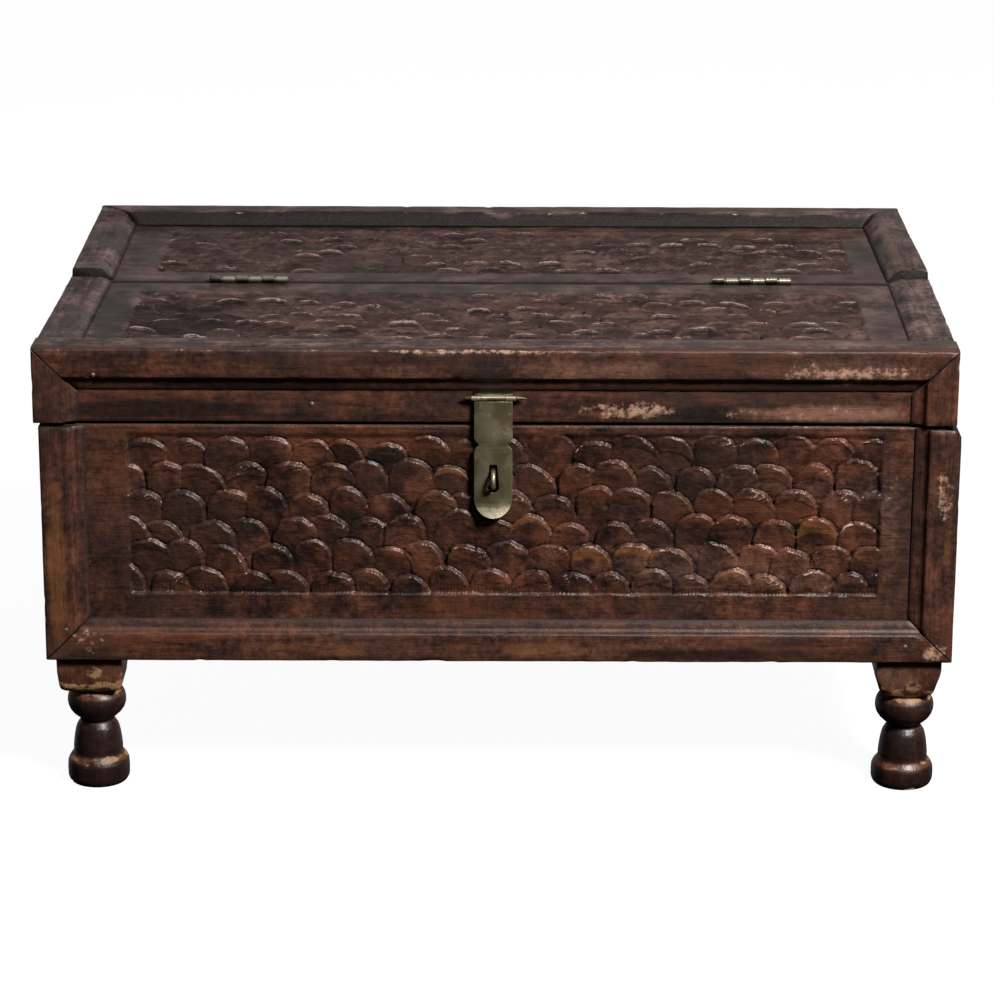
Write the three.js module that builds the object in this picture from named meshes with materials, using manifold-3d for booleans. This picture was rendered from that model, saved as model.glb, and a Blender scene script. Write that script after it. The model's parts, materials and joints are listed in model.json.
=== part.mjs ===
import * as THREE from 'three';
import { mergeVertices } from 'three/addons/utils/BufferGeometryUtils.js';
import Module from 'manifold-3d';

const wasm = await Module();
wasm.setup();

// A wooden chest on four turned feet. The rear part of its top is fixed, and the front part is a
// shallow lid that swings up on two butt hinges and is held shut by a hasp over a staple.
// Millimetres. X runs across the front, the front faces -Y, and Z points up from the floor.
// The origin is on the floor, at the middle of the space that the whole chest takes.

// Overall sizes
const BOX_WIDTH = 550;
const BOX_DEPTH = 370;
const BODY_HEIGHT = 147.5;
const LID_SKIRT = 41.5;
const FOOT_HEIGHT = 86;
const BOARD = 12;
const ROUND_SIDES = 12;

// Mouldings on the walls: a flat strip whose inner edge slopes down to a thin toe
const TRIM_WIDTH = 26;
const TRIM_FLAT = 18;
const TRIM_THICKNESS = 6;
const TRIM_TOE = 1;

// Mouldings on the top
const TOP_TRIM_WIDTH = 27;
const TOP_TRIM_FLAT = 20;
const LID_TRIM_RISE = 4.5;
const REAR_TRIM_RISE = 8.5;
const FRONT_STRIP_WIDTH = 22;
const LID_TRIM_SETBACK = 3;

// Carved fields: rows of scales whose round rims point up on the walls and to the rear on the top.
// The margins lie between a field and the edges of its board, with the foot where the scales sink.
const WALL_CARVED_ROWS = 6;
const TOP_CARVED_ROWS = 7;
const SCALE_WIDTH = 24.3;
const SCALE_ARCH = 6.5;
const SCALE_ARCH_STEPS = 4;
const SCALE_SETBACK = 2;
const SCALE_RIM_DEPTH = 0.6;
const SCALE_SINK = 2.1;
const SCALE_GROUND_DEPTH = 1.8;
const FRONT_CARVING_MARGINS = { left: 45, right: 39.5, foot: 29, head: 4 };
const SIDE_CARVING_MARGINS = { front: 34, rear: 38.7, foot: 29, head: 6.25 };
const LID_CARVING_MARGINS = { left: 40, right: 44.5, foot: 30, head: 25.25 };
const REAR_CARVING_MARGINS = { left: 45, right: 39, foot: 23.25, head: 42 };

// Clearances
const FRONT_GAP = 2.5;
const LID_SEAT_GAP = 0.25;
const MITRE_GAP = 0.25;
const SWING_GAP = 0.3;
const KNUCKLE_GAP = 0.2;
const SCREW_GAP = 0.25;
const SPIGOT_GAP = 0.25;

// Butt hinges, let upright into the joint between the lid and the fixed top
const HINGE_SETBACK = 184.5;
const HINGE_INSET = 114;
const HINGE_LENGTH = 50.8;
const HINGE_AXIS_RISE = 1.5;
const HINGE_BARREL_RADIUS = 2.2;
const HINGE_KNUCKLES = 6;
const HINGE_LEAF = 1.125;
const HINGE_LEAF_HEIGHT = 18;
const HINGE_LEAF_GAP = 0.25;
const HINGE_PIN_RADIUS = 0.9;
const SCREW_SPACING = 32;
const SCREW_LENGTH = 10;
const SCREW_SHANK_RADIUS = 1.1;
const SCREW_HEAD_RADIUS = 2.4;
const SCREW_HEAD_EDGE = 0.15;

// Hasp, its pin and the staple that it closes over
const HASP_CENTRE_X = -4;
const HASP_DROP = 4.25;
const HASP_WIDTH = 23;
const HASP_LENGTH = 74;
const HASP_THICKNESS = 1.25;
const HASP_BARREL_RADIUS = 1.7;
const HASP_BARREL_LENGTH = 26.5;
const HASP_BARREL_STANDOFF = 1.25;
const HASP_KNUCKLE_LENGTH = 14;
const HASP_LEAF_HEIGHT = 20;
const HASP_PIN_RADIUS = 0.9;
const HASP_PIN_POINT_RADIUS = 1.6;
const HASP_PIN_POINT_LENGTH = 6.5;
const HASP_NOTCH_DROP = 29;
const HASP_NOTCH_DEPTH = 2.4;
const HASP_NOTCH_HEIGHT = 5;
const HASP_SLOT_DROP = 50;
const HASP_SLOT_LENGTH = 17.5;
const HASP_SLOT_WIDTH = 7.4;
const HASP_LIP_LENGTH = 9;
const HASP_LIP_REACH = 4;
const HASP_TIP_STEPS = 14;
const STAPLE_WIRE_RADIUS = 1.4;
const STAPLE_HALF_HEIGHT = 4.6;
const STAPLE_REACH = 6;
const STAPLE_DEPTH = 8;
const STAPLE_BEND_STEPS = 10;

// Feet: a square block over a bead, a neck, a bell and a base ring, turned from one piece
const FOOT_INSET = 25.5;
const FOOT_BLOCK = 38;
const FOOT_BLOCK_HEIGHT = 27;
const FOOT_SPIGOT_RADIUS = 7;
const FOOT_SPIGOT_LENGTH = 10;
const FOOT_SIDES = 20;
const FOOT_BEAD_RADIUS = 18;
const FOOT_BEAD_HALF_HEIGHT = 8.5;
const FOOT_BEAD_STEPS = 6;
const FOOT_COLLAR_RADIUS = 12.5;
const FOOT_COLLAR_HEIGHT = 3;
const FOOT_NECK_RADIUS = 10.5;
const FOOT_NECK_HEIGHT = 3.5;
const FOOT_BELL_TOP_RADIUS = 13;
const FOOT_BELL_FOOT_RADIUS = 15.5;
const FOOT_GROOVE_RADIUS = 14.5;
const FOOT_RING_RADIUS = 19.3;
const FOOT_RING_HEIGHT = 12;
const FOOT_RING_ROUND = 1.5;
const FOOT_GROOVE_HEIGHT = 3;

// Places that follow from the sizes
const front = STAPLE_REACH - (BOX_DEPTH + STAPLE_REACH) / 2;
const back = front + BOX_DEPTH;
const side = BOX_WIDTH / 2;
const wallSide = side - TRIM_THICKNESS;
const insideSide = wallSide - BOARD;
const wallFront = front + TRIM_THICKNESS;
const insideFront = wallFront + BOARD;
const insideBack = back - BOARD;
const underside = FOOT_HEIGHT;
const insideFloor = underside + BOARD;
const frontTop = underside + BODY_HEIGHT;
const lidBottom = frontTop + FRONT_GAP;
const sideTop = lidBottom - LID_SEAT_GAP;
const panelTop = lidBottom + LID_SKIRT;
const panelUnder = panelTop - BOARD;
const battenUnder = panelUnder - BOARD;
const lidTop = panelTop + LID_TRIM_RISE;
const hingeY = front + HINGE_SETBACK;
const hingeZ = panelTop + HINGE_AXIS_RISE;
const halfJoint = HINGE_LEAF + HINGE_LEAF_GAP / 2;
const lidRear = hingeY - halfJoint;
const fixedFront = hingeY + halfJoint;
const stripRear = wallFront + FRONT_STRIP_WIDTH;
const lidTrimEnd = hingeY - LID_TRIM_SETBACK;
const lidTrimSweep = Math.hypot(LID_TRIM_SETBACK, LID_TRIM_RISE - HINGE_AXIS_RISE);
const rearTrimStart = hingeY + lidTrimSweep + SWING_GAP;
const haspY = wallFront - HASP_BARREL_STANDOFF - HASP_BARREL_RADIUS;
const haspZ = lidTop - TRIM_WIDTH - HASP_DROP;
const stapleZ = haspZ - HASP_SLOT_DROP;

// The chest stands still, the lid turns about its hinges and the hasp about its pin on the lid.
// Every piece is described in the frame of the whole chest and then handed to what carries it.
const chest = new THREE.Group();
const lid = new THREE.Group();
const hasp = new THREE.Group();
const lidPivot = new THREE.Vector3(0, hingeY, hingeZ);
const haspPivot = new THREE.Vector3(HASP_CENTRE_X, haspY, haspZ);
lid.position.copy(lidPivot);
hasp.position.copy(haspPivot).sub(lidPivot);
chest.add(lid);
lid.add(hasp);

function carryOnChest(mesh) {
  chest.add(mesh);
}

function carryOnLid(mesh) {
  mesh.position.sub(lidPivot);
  lid.add(mesh);
}

function carryOnHasp(mesh) {
  mesh.position.sub(haspPivot);
  hasp.add(mesh);
}

// Every mesh has a material of its own
const WOOD = { color: 0x4a2c20, roughness: 0.6, metalness: 0 };
const DARK_WOOD = { color: 0x35211a, roughness: 0.55, metalness: 0 };
const TOP_WOOD = { color: 0x504046, roughness: 0.6, metalness: 0 };
const INSIDE_WOOD = { color: 0x5b4030, roughness: 0.75, metalness: 0 };
const OLD_BRASS = { color: 0x6b6342, roughness: 0.45, metalness: 0.9 };
const BRIGHT_BRASS = { color: 0xc0a868, roughness: 0.35, metalness: 1 };

function named(name, geometry, finish) {
  const mesh = new THREE.Mesh(geometry, new THREE.MeshStandardMaterial(finish));
  mesh.name = name;
  return mesh;
}

// Touching faces share one plane exactly, because sizes are kept to a 64th of a millimetre
function snap(length) {
  return Math.round(length * 64) / 64;
}

// A straight board between two corners
function board(name, finish, [x0, x1], [y0, y1], [z0, z1]) {
  const low = new THREE.Vector3(snap(x0), snap(y0), snap(z0));
  const high = new THREE.Vector3(snap(x1), snap(y1), snap(z1));
  const size = high.clone().sub(low);
  const mesh = named(name, new THREE.BoxGeometry(size.x, size.y, size.z), finish);
  mesh.position.copy(low).add(high).divideScalar(2);
  return mesh;
}

// Booleans
function toSolid(geometry) {
  const bare = geometry.clone();
  bare.deleteAttribute('normal');
  bare.deleteAttribute('uv');
  const merged = mergeVertices(bare, 1e-5);
  return new wasm.Manifold(new wasm.Mesh({
    numProp: 3,
    vertProperties: Float32Array.from(merged.attributes.position.array),
    triVerts: Uint32Array.from(merged.index.array),
  }));
}

function toGeometry(solid) {
  const { vertProperties, triVerts } = solid.getMesh();
  const geometry = new THREE.BufferGeometry();
  geometry.setAttribute('position', new THREE.BufferAttribute(vertProperties, 3));
  geometry.setIndex(new THREE.BufferAttribute(triVerts, 1));
  geometry.computeVertexNormals();
  return geometry;
}

function joined(...geometries) {
  return toGeometry(geometries.map(toSolid).reduce((whole, next) => whole.add(next)));
}

function without(geometry, ...cutters) {
  return toGeometry(cutters.map(toSolid).reduce((rest, next) => rest.subtract(next), toSolid(geometry)));
}

// Cuts a placed mesh with cutters given in the frame of the chest
function cut(mesh, ...cutters) {
  mesh.updateMatrix();
  const toMesh = mesh.matrix.clone().invert();
  mesh.geometry = without(mesh.geometry, ...cutters.map((cutter) => cutter.clone().applyMatrix4(toMesh)));
  return mesh;
}

// A box and a rod along X between two ends, as cutters or as parts of a piece
function boxBetween([x0, x1], [y0, y1], [z0, z1]) {
  const geometry = new THREE.BoxGeometry(x1 - x0, y1 - y0, z1 - z0);
  return geometry.translate((x0 + x1) / 2, (y0 + y1) / 2, (z0 + z1) / 2);
}

function rodAlongX(radius, x0, x1, y, z, sides = ROUND_SIDES) {
  const geometry = new THREE.CylinderGeometry(radius, radius, x1 - x0, sides);
  return geometry.rotateZ(Math.PI / 2).translate((x0 + x1) / 2, y, z);
}

// A turned piece about Z from a profile of [radius, height] points that starts and ends on the axis
function turned(profile, sides) {
  const points = profile.map(([radius, height]) => new THREE.Vector2(radius, height));
  return new THREE.LatheGeometry(points, sides).rotateX(Math.PI / 2);
}

// A moulding from one end to the other. The outer edge runs along that line, across points to its
// inner edge and out points away from the board. A mitred end is cut at 45 degrees.
function moulding(name, finish, { from, to, across, out, mitres, width, flat, rise }) {
  let [start, end] = [from, to].map((p) => new THREE.Vector3(...p.map(snap)));
  let [startMitred, endMitred] = mitres;
  const acrossAxis = new THREE.Vector3(...across);
  const outAxis = new THREE.Vector3(...out);
  const along = end.clone().sub(start).normalize();
  if (along.clone().cross(acrossAxis).dot(outAxis) < 0) {
    [start, end] = [end, start];
    [startMitred, endMitred] = [endMitred, startMitred];
    along.negate();
  }
  const length = start.distanceTo(end);
  const profile = [[0, 0], [width, 0], [width, TRIM_TOE], [flat, rise], [0, rise]];
  const drawnBack = (mitred, u) => (mitred ? u + MITRE_GAP / Math.SQRT2 : 0);
  const near = profile.map(([u, v]) => [drawnBack(startMitred, u), snap(u), snap(v)]);
  const far = profile.map(([u, v]) => [length - drawnBack(endMitred, u), snap(u), snap(v)]);
  const geometry = new THREE.BufferGeometry();
  geometry.setAttribute('position', new THREE.Float32BufferAttribute([...near, ...far].flat(), 3));
  const count = profile.length;
  const faces = [];
  for (let i = 0; i < count; i += 1) {
    const next = (i + 1) % count;
    faces.push(i, next, count + next, i, count + next, count + i);
  }
  for (let i = 1; i < count - 1; i += 1) {
    faces.push(0, i + 1, i);
    faces.push(count, count + i, count + i + 1);
  }
  geometry.setIndex(faces);
  geometry.computeVertexNormals();
  const mesh = named(name, geometry, finish);
  mesh.position.copy(start);
  mesh.quaternion.setFromRotationMatrix(new THREE.Matrix4().makeBasis(along, acrossAxis, outAxis));
  return mesh;
}

function wallTrim(name, finish, ends) {
  return moulding(name, finish, { ...ends, width: TRIM_WIDTH, flat: TRIM_FLAT, rise: TRIM_THICKNESS });
}

function topTrim(name, rise, ends) {
  return moulding(name, TOP_WOOD, { ...ends, width: TOP_TRIM_WIDTH, flat: TOP_TRIM_FLAT, rise });
}

// What one row of a carved field takes away from a face at height 0: the room between two lines
// that run across the field, down to a depth that changes from the foot to the head
function carvedRow(footLine, headLine, depthAt) {
  const outline = [...footLine, ...headLine.toReversed()].map(([x, y]) => new THREE.Vector2(x, y));
  const geometry = new THREE.ExtrudeGeometry(new THREE.Shape(outline), { depth: 1, bevelEnabled: false });
  const spots = geometry.attributes.position;
  for (let i = 0; i < spots.count; i += 1) {
    spots.setZ(i, spots.getZ(i) > 0 ? 1 : -depthAt(spots.getY(i)));
  }
  return geometry;
}

// The rows of a carved field. A scale lies just under the face at its rim and sinks towards the
// foot, where the rims of the next row stand over it. Each row is half a scale beside the last. The
// room of a row runs on a little past its rim, so that no two rooms only touch.
function carvedField(rowCount, [left, right], [foot, head]) {
  const rowLength = (head - foot) / rowCount;
  const step = SCALE_WIDTH / SCALE_ARCH_STEPS;
  const stepCount = Math.ceil((right - left) / step - 1 / 4);
  const crossings = [...Array.from({ length: stepCount }, (_, k) => left + k * step), right];
  const straight = (y) => [[left, y], [right, y]];
  const crown = (row) => foot + (row + 1) * rowLength - SCALE_SETBACK;
  const rim = (row) => crossings.map((x) => {
    const place = (x - left) / SCALE_WIDTH - (row % 2) / 2;
    const fromMiddle = 2 * (place - Math.round(place));
    return [x, crown(row) - SCALE_ARCH * fromMiddle ** 2];
  });
  const ground = carvedRow(rim(rowCount - 1), straight(head), () => SCALE_GROUND_DEPTH);
  const rows = Array.from({ length: rowCount }, (_, row) => carvedRow(
    row > 0 ? rim(row - 1) : straight(foot),
    rim(row).map(([x, y]) => [x, y + SCALE_SETBACK / 4]),
    (y) => SCALE_RIM_DEPTH + SCALE_SINK * (crown(row) - y) / rowLength,
  ));
  return [ground, ...rows];
}

// Carves a field into the face of a board. across runs over the face from left to right and up from
// the foot to the head, and the face looks along their cross product.
function carved(mesh, across, up, rowCount, margins) {
  const [acrossAxis, upAxis] = [across, up].map((axis) => new THREE.Vector3(...axis));
  const outAxis = acrossAxis.clone().cross(upAxis);
  mesh.geometry.computeBoundingBox();
  const corner = mesh.geometry.boundingBox.max;
  const [halfAcross, halfUp, halfOut] = [acrossAxis, upAxis, outAxis].map((axis) => Math.abs(corner.dot(axis)));
  const onFace = new THREE.Matrix4().makeBasis(acrossAxis, upAxis, outAxis)
    .setPosition(outAxis.clone().multiplyScalar(halfOut).add(mesh.position));
  const field = carvedField(
    rowCount,
    [margins.left - halfAcross, halfAcross - margins.right],
    [margins.foot - halfUp, halfUp - margins.head],
  );
  return cut(mesh, ...field.map((row) => row.applyMatrix4(onFace)));
}

// Carcass boards
const footPlaces = [
  { name: 'foot_front_left', x: FOOT_INSET - side, y: front + FOOT_INSET },
  { name: 'foot_front_right', x: side - FOOT_INSET, y: front + FOOT_INSET },
  { name: 'foot_rear_left', x: FOOT_INSET - side, y: back - FOOT_INSET },
  { name: 'foot_rear_right', x: side - FOOT_INSET, y: back - FOOT_INSET },
];

function bottomBoard() {
  const mesh = board('bottom_board', INSIDE_WOOD, [-wallSide, wallSide], [wallFront, back],
    [underside, insideFloor]);
  const holes = footPlaces.map(({ x, y }) => {
    const radius = FOOT_SPIGOT_RADIUS + SPIGOT_GAP;
    const reach = 2 * (FOOT_SPIGOT_LENGTH + SPIGOT_GAP);
    const hole = new THREE.CylinderGeometry(radius, radius, reach, FOOT_SIDES);
    return hole.rotateX(Math.PI / 2).translate(x, y, underside);
  });
  return cut(mesh, ...holes);
}

function stapleHoles() {
  return [STAPLE_HALF_HEIGHT, -STAPLE_HALF_HEIGHT].map((offset) => {
    const radius = STAPLE_WIRE_RADIUS + SCREW_GAP;
    const hole = new THREE.CylinderGeometry(radius, radius, 2 * (STAPLE_DEPTH + SCREW_GAP), ROUND_SIDES);
    return hole.translate(HASP_CENTRE_X, wallFront, stapleZ + offset);
  });
}

carryOnChest(bottomBoard());
const frontBoard = board('front_board', WOOD, [-wallSide, wallSide], [wallFront, insideFront],
  [insideFloor, frontTop]);
carryOnChest(cut(
  carved(frontBoard, [1, 0, 0], [0, 0, 1], WALL_CARVED_ROWS, FRONT_CARVING_MARGINS),
  ...stapleHoles(),
));
carryOnChest(board('back_board', WOOD, [-wallSide, wallSide], [insideBack, back],
  [insideFloor, panelUnder]));

for (const [hand, sign] of [['left', -1], ['right', 1]]) {
  const wall = [sign * wallSide, sign * insideSide].sort((a, b) => a - b);
  const sideBoard = board(`${hand}_side_board`, WOOD, wall, [insideFront, insideBack], [insideFloor, sideTop]);
  const { front: nearFront, rear: nearRear, foot, head } = SIDE_CARVING_MARGINS;
  const [left, right] = sign > 0 ? [nearFront, nearRear] : [nearRear, nearFront];
  carryOnChest(carved(sideBoard, [0, sign, 0], [0, 0, 1], WALL_CARVED_ROWS, { left, right, foot, head }));
  carryOnChest(board(`${hand}_side_upper_board`, WOOD, wall, [fixedFront, insideBack],
    [sideTop, panelUnder]));
}

// Mouldings on the front and the sides of the carcass
carryOnChest(wallTrim('front_bottom_rail', WOOD, {
  from: [-side, wallFront, underside],
  to: [side, wallFront, underside],
  across: [0, 0, 1],
  out: [0, -1, 0],
  mitres: [true, true],
}));

for (const [hand, sign] of [['left', -1], ['right', 1]]) {
  carryOnChest(wallTrim(`front_${hand}_stile`, WOOD, {
    from: [sign * side, wallFront, underside],
    to: [sign * side, wallFront, frontTop],
    across: [-sign, 0, 0],
    out: [0, -1, 0],
    mitres: [true, false],
  }));
  const wallX = sign * wallSide;
  const out = [sign, 0, 0];
  carryOnChest(wallTrim(`${hand}_side_bottom_rail`, WOOD, {
    from: [wallX, wallFront, underside],
    to: [wallX, back, underside],
    across: [0, 0, 1],
    out,
    mitres: [true, true],
  }));
  carryOnChest(wallTrim(`${hand}_side_front_stile`, WOOD, {
    from: [wallX, wallFront, underside],
    to: [wallX, wallFront, frontTop],
    across: [0, 1, 0],
    out,
    mitres: [true, false],
  }));
  carryOnChest(wallTrim(`${hand}_side_rear_stile`, WOOD, {
    from: [wallX, back, underside],
    to: [wallX, back, panelTop],
    across: [0, -1, 0],
    out,
    mitres: [true, true],
  }));
  carryOnChest(wallTrim(`${hand}_side_top_rail`, WOOD, {
    from: [wallX, fixedFront, panelTop],
    to: [wallX, back, panelTop],
    across: [0, 0, -1],
    out,
    mitres: [false, true],
  }));
}

// Butt hinges, each with its middle set in from a side: knuckles of the two leaves share one pin
const hingePlaces = [['left', HINGE_INSET - side], ['right', side - HINGE_INSET]];
const screwOffsets = [['outer', -SCREW_SPACING / 2], ['inner', SCREW_SPACING / 2]];
const screwZ = panelTop - BOARD / 2;
const screwHeadHeight = HINGE_LEAF - SCREW_HEAD_EDGE;

// The screw points along +Z with its head's face at height 0, and grown makes its clearance hole
function screwShape(grown, length) {
  const head = SCREW_HEAD_RADIUS + grown;
  const shank = SCREW_SHANK_RADIUS + grown;
  return turned([
    [0, -grown],
    [head, -grown],
    [head, SCREW_HEAD_EDGE],
    [shank, screwHeadHeight],
    [shank, length - shank],
    [0, length],
  ], ROUND_SIDES);
}

// Turns a shape that points along +Z into the edge of a board, whose edge faces the hinge axis
function intoEdge(geometry, x, sign) {
  const faceY = hingeY + sign * (HINGE_LEAF_GAP / 2 + SCREW_HEAD_EDGE / 2);
  return geometry.rotateX(-sign * Math.PI / 2).translate(x, faceY, screwZ);
}

function screwHoles(sign) {
  return hingePlaces.flatMap(([, hingeX]) => screwOffsets.map(([, offset]) => (
    intoEdge(screwShape(SCREW_GAP, SCREW_LENGTH + SCREW_GAP), hingeX + offset, sign)
  )));
}

// Room for the barrel in the top edges that meet at the hinge
function barrelReliefs() {
  const reach = HINGE_LENGTH / 2 + SWING_GAP;
  return hingePlaces.map(([, x]) => (
    rodAlongX(HINGE_BARREL_RADIUS + SWING_GAP, x - reach, x + reach, hingeY, hingeZ, 2 * ROUND_SIDES)
  ));
}

function hingeLeaf(name, hingeX, sign) {
  const pitch = HINGE_LENGTH / HINGE_KNUCKLES;
  const plateTop = -HINGE_BARREL_RADIUS - SWING_GAP;
  const thickness = [HINGE_LEAF_GAP / 2, halfJoint].map((y) => sign * y).sort((a, b) => a - b);
  const parts = [boxBetween([-HINGE_LENGTH / 2, HINGE_LENGTH / 2], thickness,
    [plateTop - HINGE_LEAF_HEIGHT, plateTop])];
  const firstKnuckle = sign > 0 ? 0 : 1;
  for (let i = firstKnuckle; i < HINGE_KNUCKLES; i += 2) {
    const x0 = -HINGE_LENGTH / 2 + i * pitch + KNUCKLE_GAP / 2;
    const x1 = x0 + pitch - KNUCKLE_GAP;
    parts.push(rodAlongX(HINGE_BARREL_RADIUS, x0, x1, 0, 0));
    parts.push(boxBetween([x0, x1], thickness, [plateTop - HINGE_LEAF, 0]));
  }
  const bore = rodAlongX(HINGE_PIN_RADIUS + KNUCKLE_GAP, -HINGE_LENGTH, HINGE_LENGTH, 0, 0);
  const mesh = named(name, without(joined(...parts), bore), BRIGHT_BRASS);
  mesh.position.set(hingeX, hingeY, hingeZ);
  return cut(mesh, ...screwHoles(sign));
}

function hingeScrew(name, x, sign) {
  const mesh = named(name, screwShape(0, SCREW_LENGTH), BRIGHT_BRASS);
  mesh.rotation.x = -sign * Math.PI / 2;
  mesh.position.set(x, hingeY + sign * (HINGE_LEAF_GAP / 2 + SCREW_HEAD_EDGE / 2), screwZ);
  return mesh;
}

function hingePin(name, hingeX) {
  const rod = rodAlongX(HINGE_PIN_RADIUS, -HINGE_LENGTH / 2, HINGE_LENGTH / 2, 0, 0);
  const mesh = named(name, rod, BRIGHT_BRASS);
  mesh.position.set(hingeX, hingeY, hingeZ);
  return mesh;
}

for (const [hand, hingeX] of hingePlaces) {
  carryOnChest(hingeLeaf(`hinge_${hand}_fixed_leaf`, hingeX, 1));
  carryOnChest(hingePin(`hinge_${hand}_pin`, hingeX));
  carryOnLid(hingeLeaf(`hinge_${hand}_lid_leaf`, hingeX, -1));
  for (const [place, offset] of screwOffsets) {
    carryOnChest(hingeScrew(`hinge_${hand}_fixed_screw_${place}`, hingeX + offset, 1));
    carryOnLid(hingeScrew(`hinge_${hand}_lid_screw_${place}`, hingeX + offset, -1));
  }
}

// Fixed rear part of the top
const fixedTopBoard = board('fixed_top_board', TOP_WOOD, [-wallSide, wallSide], [fixedFront, back],
  [panelUnder, panelTop]);
carryOnChest(cut(
  carved(fixedTopBoard, [1, 0, 0], [0, 1, 0], TOP_CARVED_ROWS, REAR_CARVING_MARGINS),
  ...barrelReliefs(),
  ...screwHoles(1),
));
carryOnChest(board('fixed_top_cross_rail', INSIDE_WOOD, [-insideSide, insideSide],
  [fixedFront, fixedFront + BOARD], [battenUnder, panelUnder]));
carryOnChest(topTrim('fixed_top_rear_rail', REAR_TRIM_RISE, {
  from: [-side, back, panelTop],
  to: [side, back, panelTop],
  across: [0, -1, 0],
  out: [0, 0, 1],
  mitres: [true, true],
}));

for (const [hand, sign] of [['left', -1], ['right', 1]]) {
  carryOnChest(topTrim(`fixed_top_${hand}_moulding`, REAR_TRIM_RISE, {
    from: [sign * side, rearTrimStart, panelTop],
    to: [sign * side, back, panelTop],
    across: [-sign, 0, 0],
    out: [0, 0, 1],
    mitres: [false, true],
  }));
}

// Feet, from the floor up to the spigot that is let into the bottom board
function footShape() {
  const blockFoot = FOOT_HEIGHT - FOOT_BLOCK_HEIGHT;
  const beadCentre = blockFoot - FOOT_COLLAR_HEIGHT - FOOT_BEAD_HALF_HEIGHT;
  const beadFoot = beadCentre - FOOT_BEAD_HALF_HEIGHT;
  const bellTop = beadFoot - FOOT_NECK_HEIGHT;
  const bellFoot = FOOT_RING_HEIGHT + FOOT_GROOVE_HEIGHT;
  const bead = [];
  for (let i = 1; i < FOOT_BEAD_STEPS; i += 1) {
    const angle = Math.PI * (i / FOOT_BEAD_STEPS - 1 / 2);
    const radius = FOOT_BEAD_RADIUS * Math.sqrt(Math.cos(angle));
    bead.push([radius, beadCentre + FOOT_BEAD_HALF_HEIGHT * Math.sin(angle)]);
  }
  const profile = [
    [0, 0],
    [FOOT_RING_RADIUS - FOOT_RING_ROUND, 0],
    [FOOT_RING_RADIUS, FOOT_RING_ROUND],
    [FOOT_RING_RADIUS, FOOT_RING_HEIGHT - FOOT_RING_ROUND],
    [FOOT_RING_RADIUS - FOOT_RING_ROUND, FOOT_RING_HEIGHT],
    [FOOT_GROOVE_RADIUS, FOOT_RING_HEIGHT],
    [FOOT_GROOVE_RADIUS, bellFoot],
    [FOOT_BELL_FOOT_RADIUS, bellFoot + FOOT_GROOVE_HEIGHT],
    [FOOT_BELL_TOP_RADIUS, bellTop],
    [FOOT_NECK_RADIUS, bellTop + FOOT_NECK_HEIGHT / 2],
    [FOOT_NECK_RADIUS, beadFoot],
    ...bead,
    [FOOT_COLLAR_RADIUS, blockFoot - FOOT_COLLAR_HEIGHT / 2],
    [FOOT_COLLAR_RADIUS, blockFoot + FOOT_COLLAR_HEIGHT],
    [FOOT_SPIGOT_RADIUS, blockFoot + FOOT_COLLAR_HEIGHT],
    [FOOT_SPIGOT_RADIUS, FOOT_HEIGHT + FOOT_SPIGOT_LENGTH],
    [0, FOOT_HEIGHT + FOOT_SPIGOT_LENGTH],
  ];
  const half = FOOT_BLOCK / 2;
  const block = boxBetween([-half, half], [-half, half], [blockFoot, FOOT_HEIGHT]);
  return joined(turned(profile, FOOT_SIDES), block);
}

for (const { name, x, y } of footPlaces) {
  const foot = named(name, footShape(), DARK_WOOD);
  foot.position.set(x, y, 0);
  carryOnChest(foot);
}

// Staple: a bent wire that stands upright, with both ends driven into the front board
function stapleShape() {
  const bend = STAPLE_HALF_HEIGHT;
  const bendStart = front - STAPLE_REACH + STAPLE_WIRE_RADIUS + bend;
  const tail = wallFront + STAPLE_DEPTH;
  const place = (y, z) => new THREE.Vector3(HASP_CENTRE_X, y, stapleZ + z);
  const points = [place(tail, bend)];
  for (let i = 0; i <= STAPLE_BEND_STEPS; i += 1) {
    const angle = Math.PI * i / STAPLE_BEND_STEPS;
    points.push(place(bendStart - bend * Math.sin(angle), bend * Math.cos(angle)));
  }
  points.push(place(tail, -bend));
  return sweptWire(points, STAPLE_WIRE_RADIUS, ROUND_SIDES - 2);
}

// A round wire through points that lie in one plane of equal X, each ring standing square to the path
function sweptWire(points, radius, sides) {
  const positions = [];
  const faces = [];
  points.forEach((point, index) => {
    const before = points[Math.max(index - 1, 0)];
    const after = points[Math.min(index + 1, points.length - 1)];
    const along = after.clone().sub(before).normalize();
    const acrossX = new THREE.Vector3(1, 0, 0);
    const other = acrossX.clone().cross(along);
    for (let k = 0; k < sides; k += 1) {
      const angle = 2 * Math.PI * k / sides;
      const spot = point.clone();
      spot.addScaledVector(acrossX, radius * Math.cos(angle));
      spot.addScaledVector(other, radius * Math.sin(angle));
      positions.push(spot.x, spot.y, spot.z);
    }
  });
  const last = (points.length - 1) * sides;
  for (let ring = 0; ring < points.length - 1; ring += 1) {
    for (let k = 0; k < sides; k += 1) {
      const a = ring * sides + k;
      const b = ring * sides + (k + 1) % sides;
      faces.push(a, a + sides, b, b, a + sides, b + sides);
    }
  }
  for (let k = 1; k < sides - 1; k += 1) {
    faces.push(0, k, k + 1);
    faces.push(last, last + k + 1, last + k);
  }
  const geometry = new THREE.BufferGeometry();
  geometry.setAttribute('position', new THREE.Float32BufferAttribute(positions, 3));
  geometry.setIndex(faces);
  geometry.computeVertexNormals();
  return geometry;
}

carryOnChest(named('hasp_staple', stapleShape(), OLD_BRASS));

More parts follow.
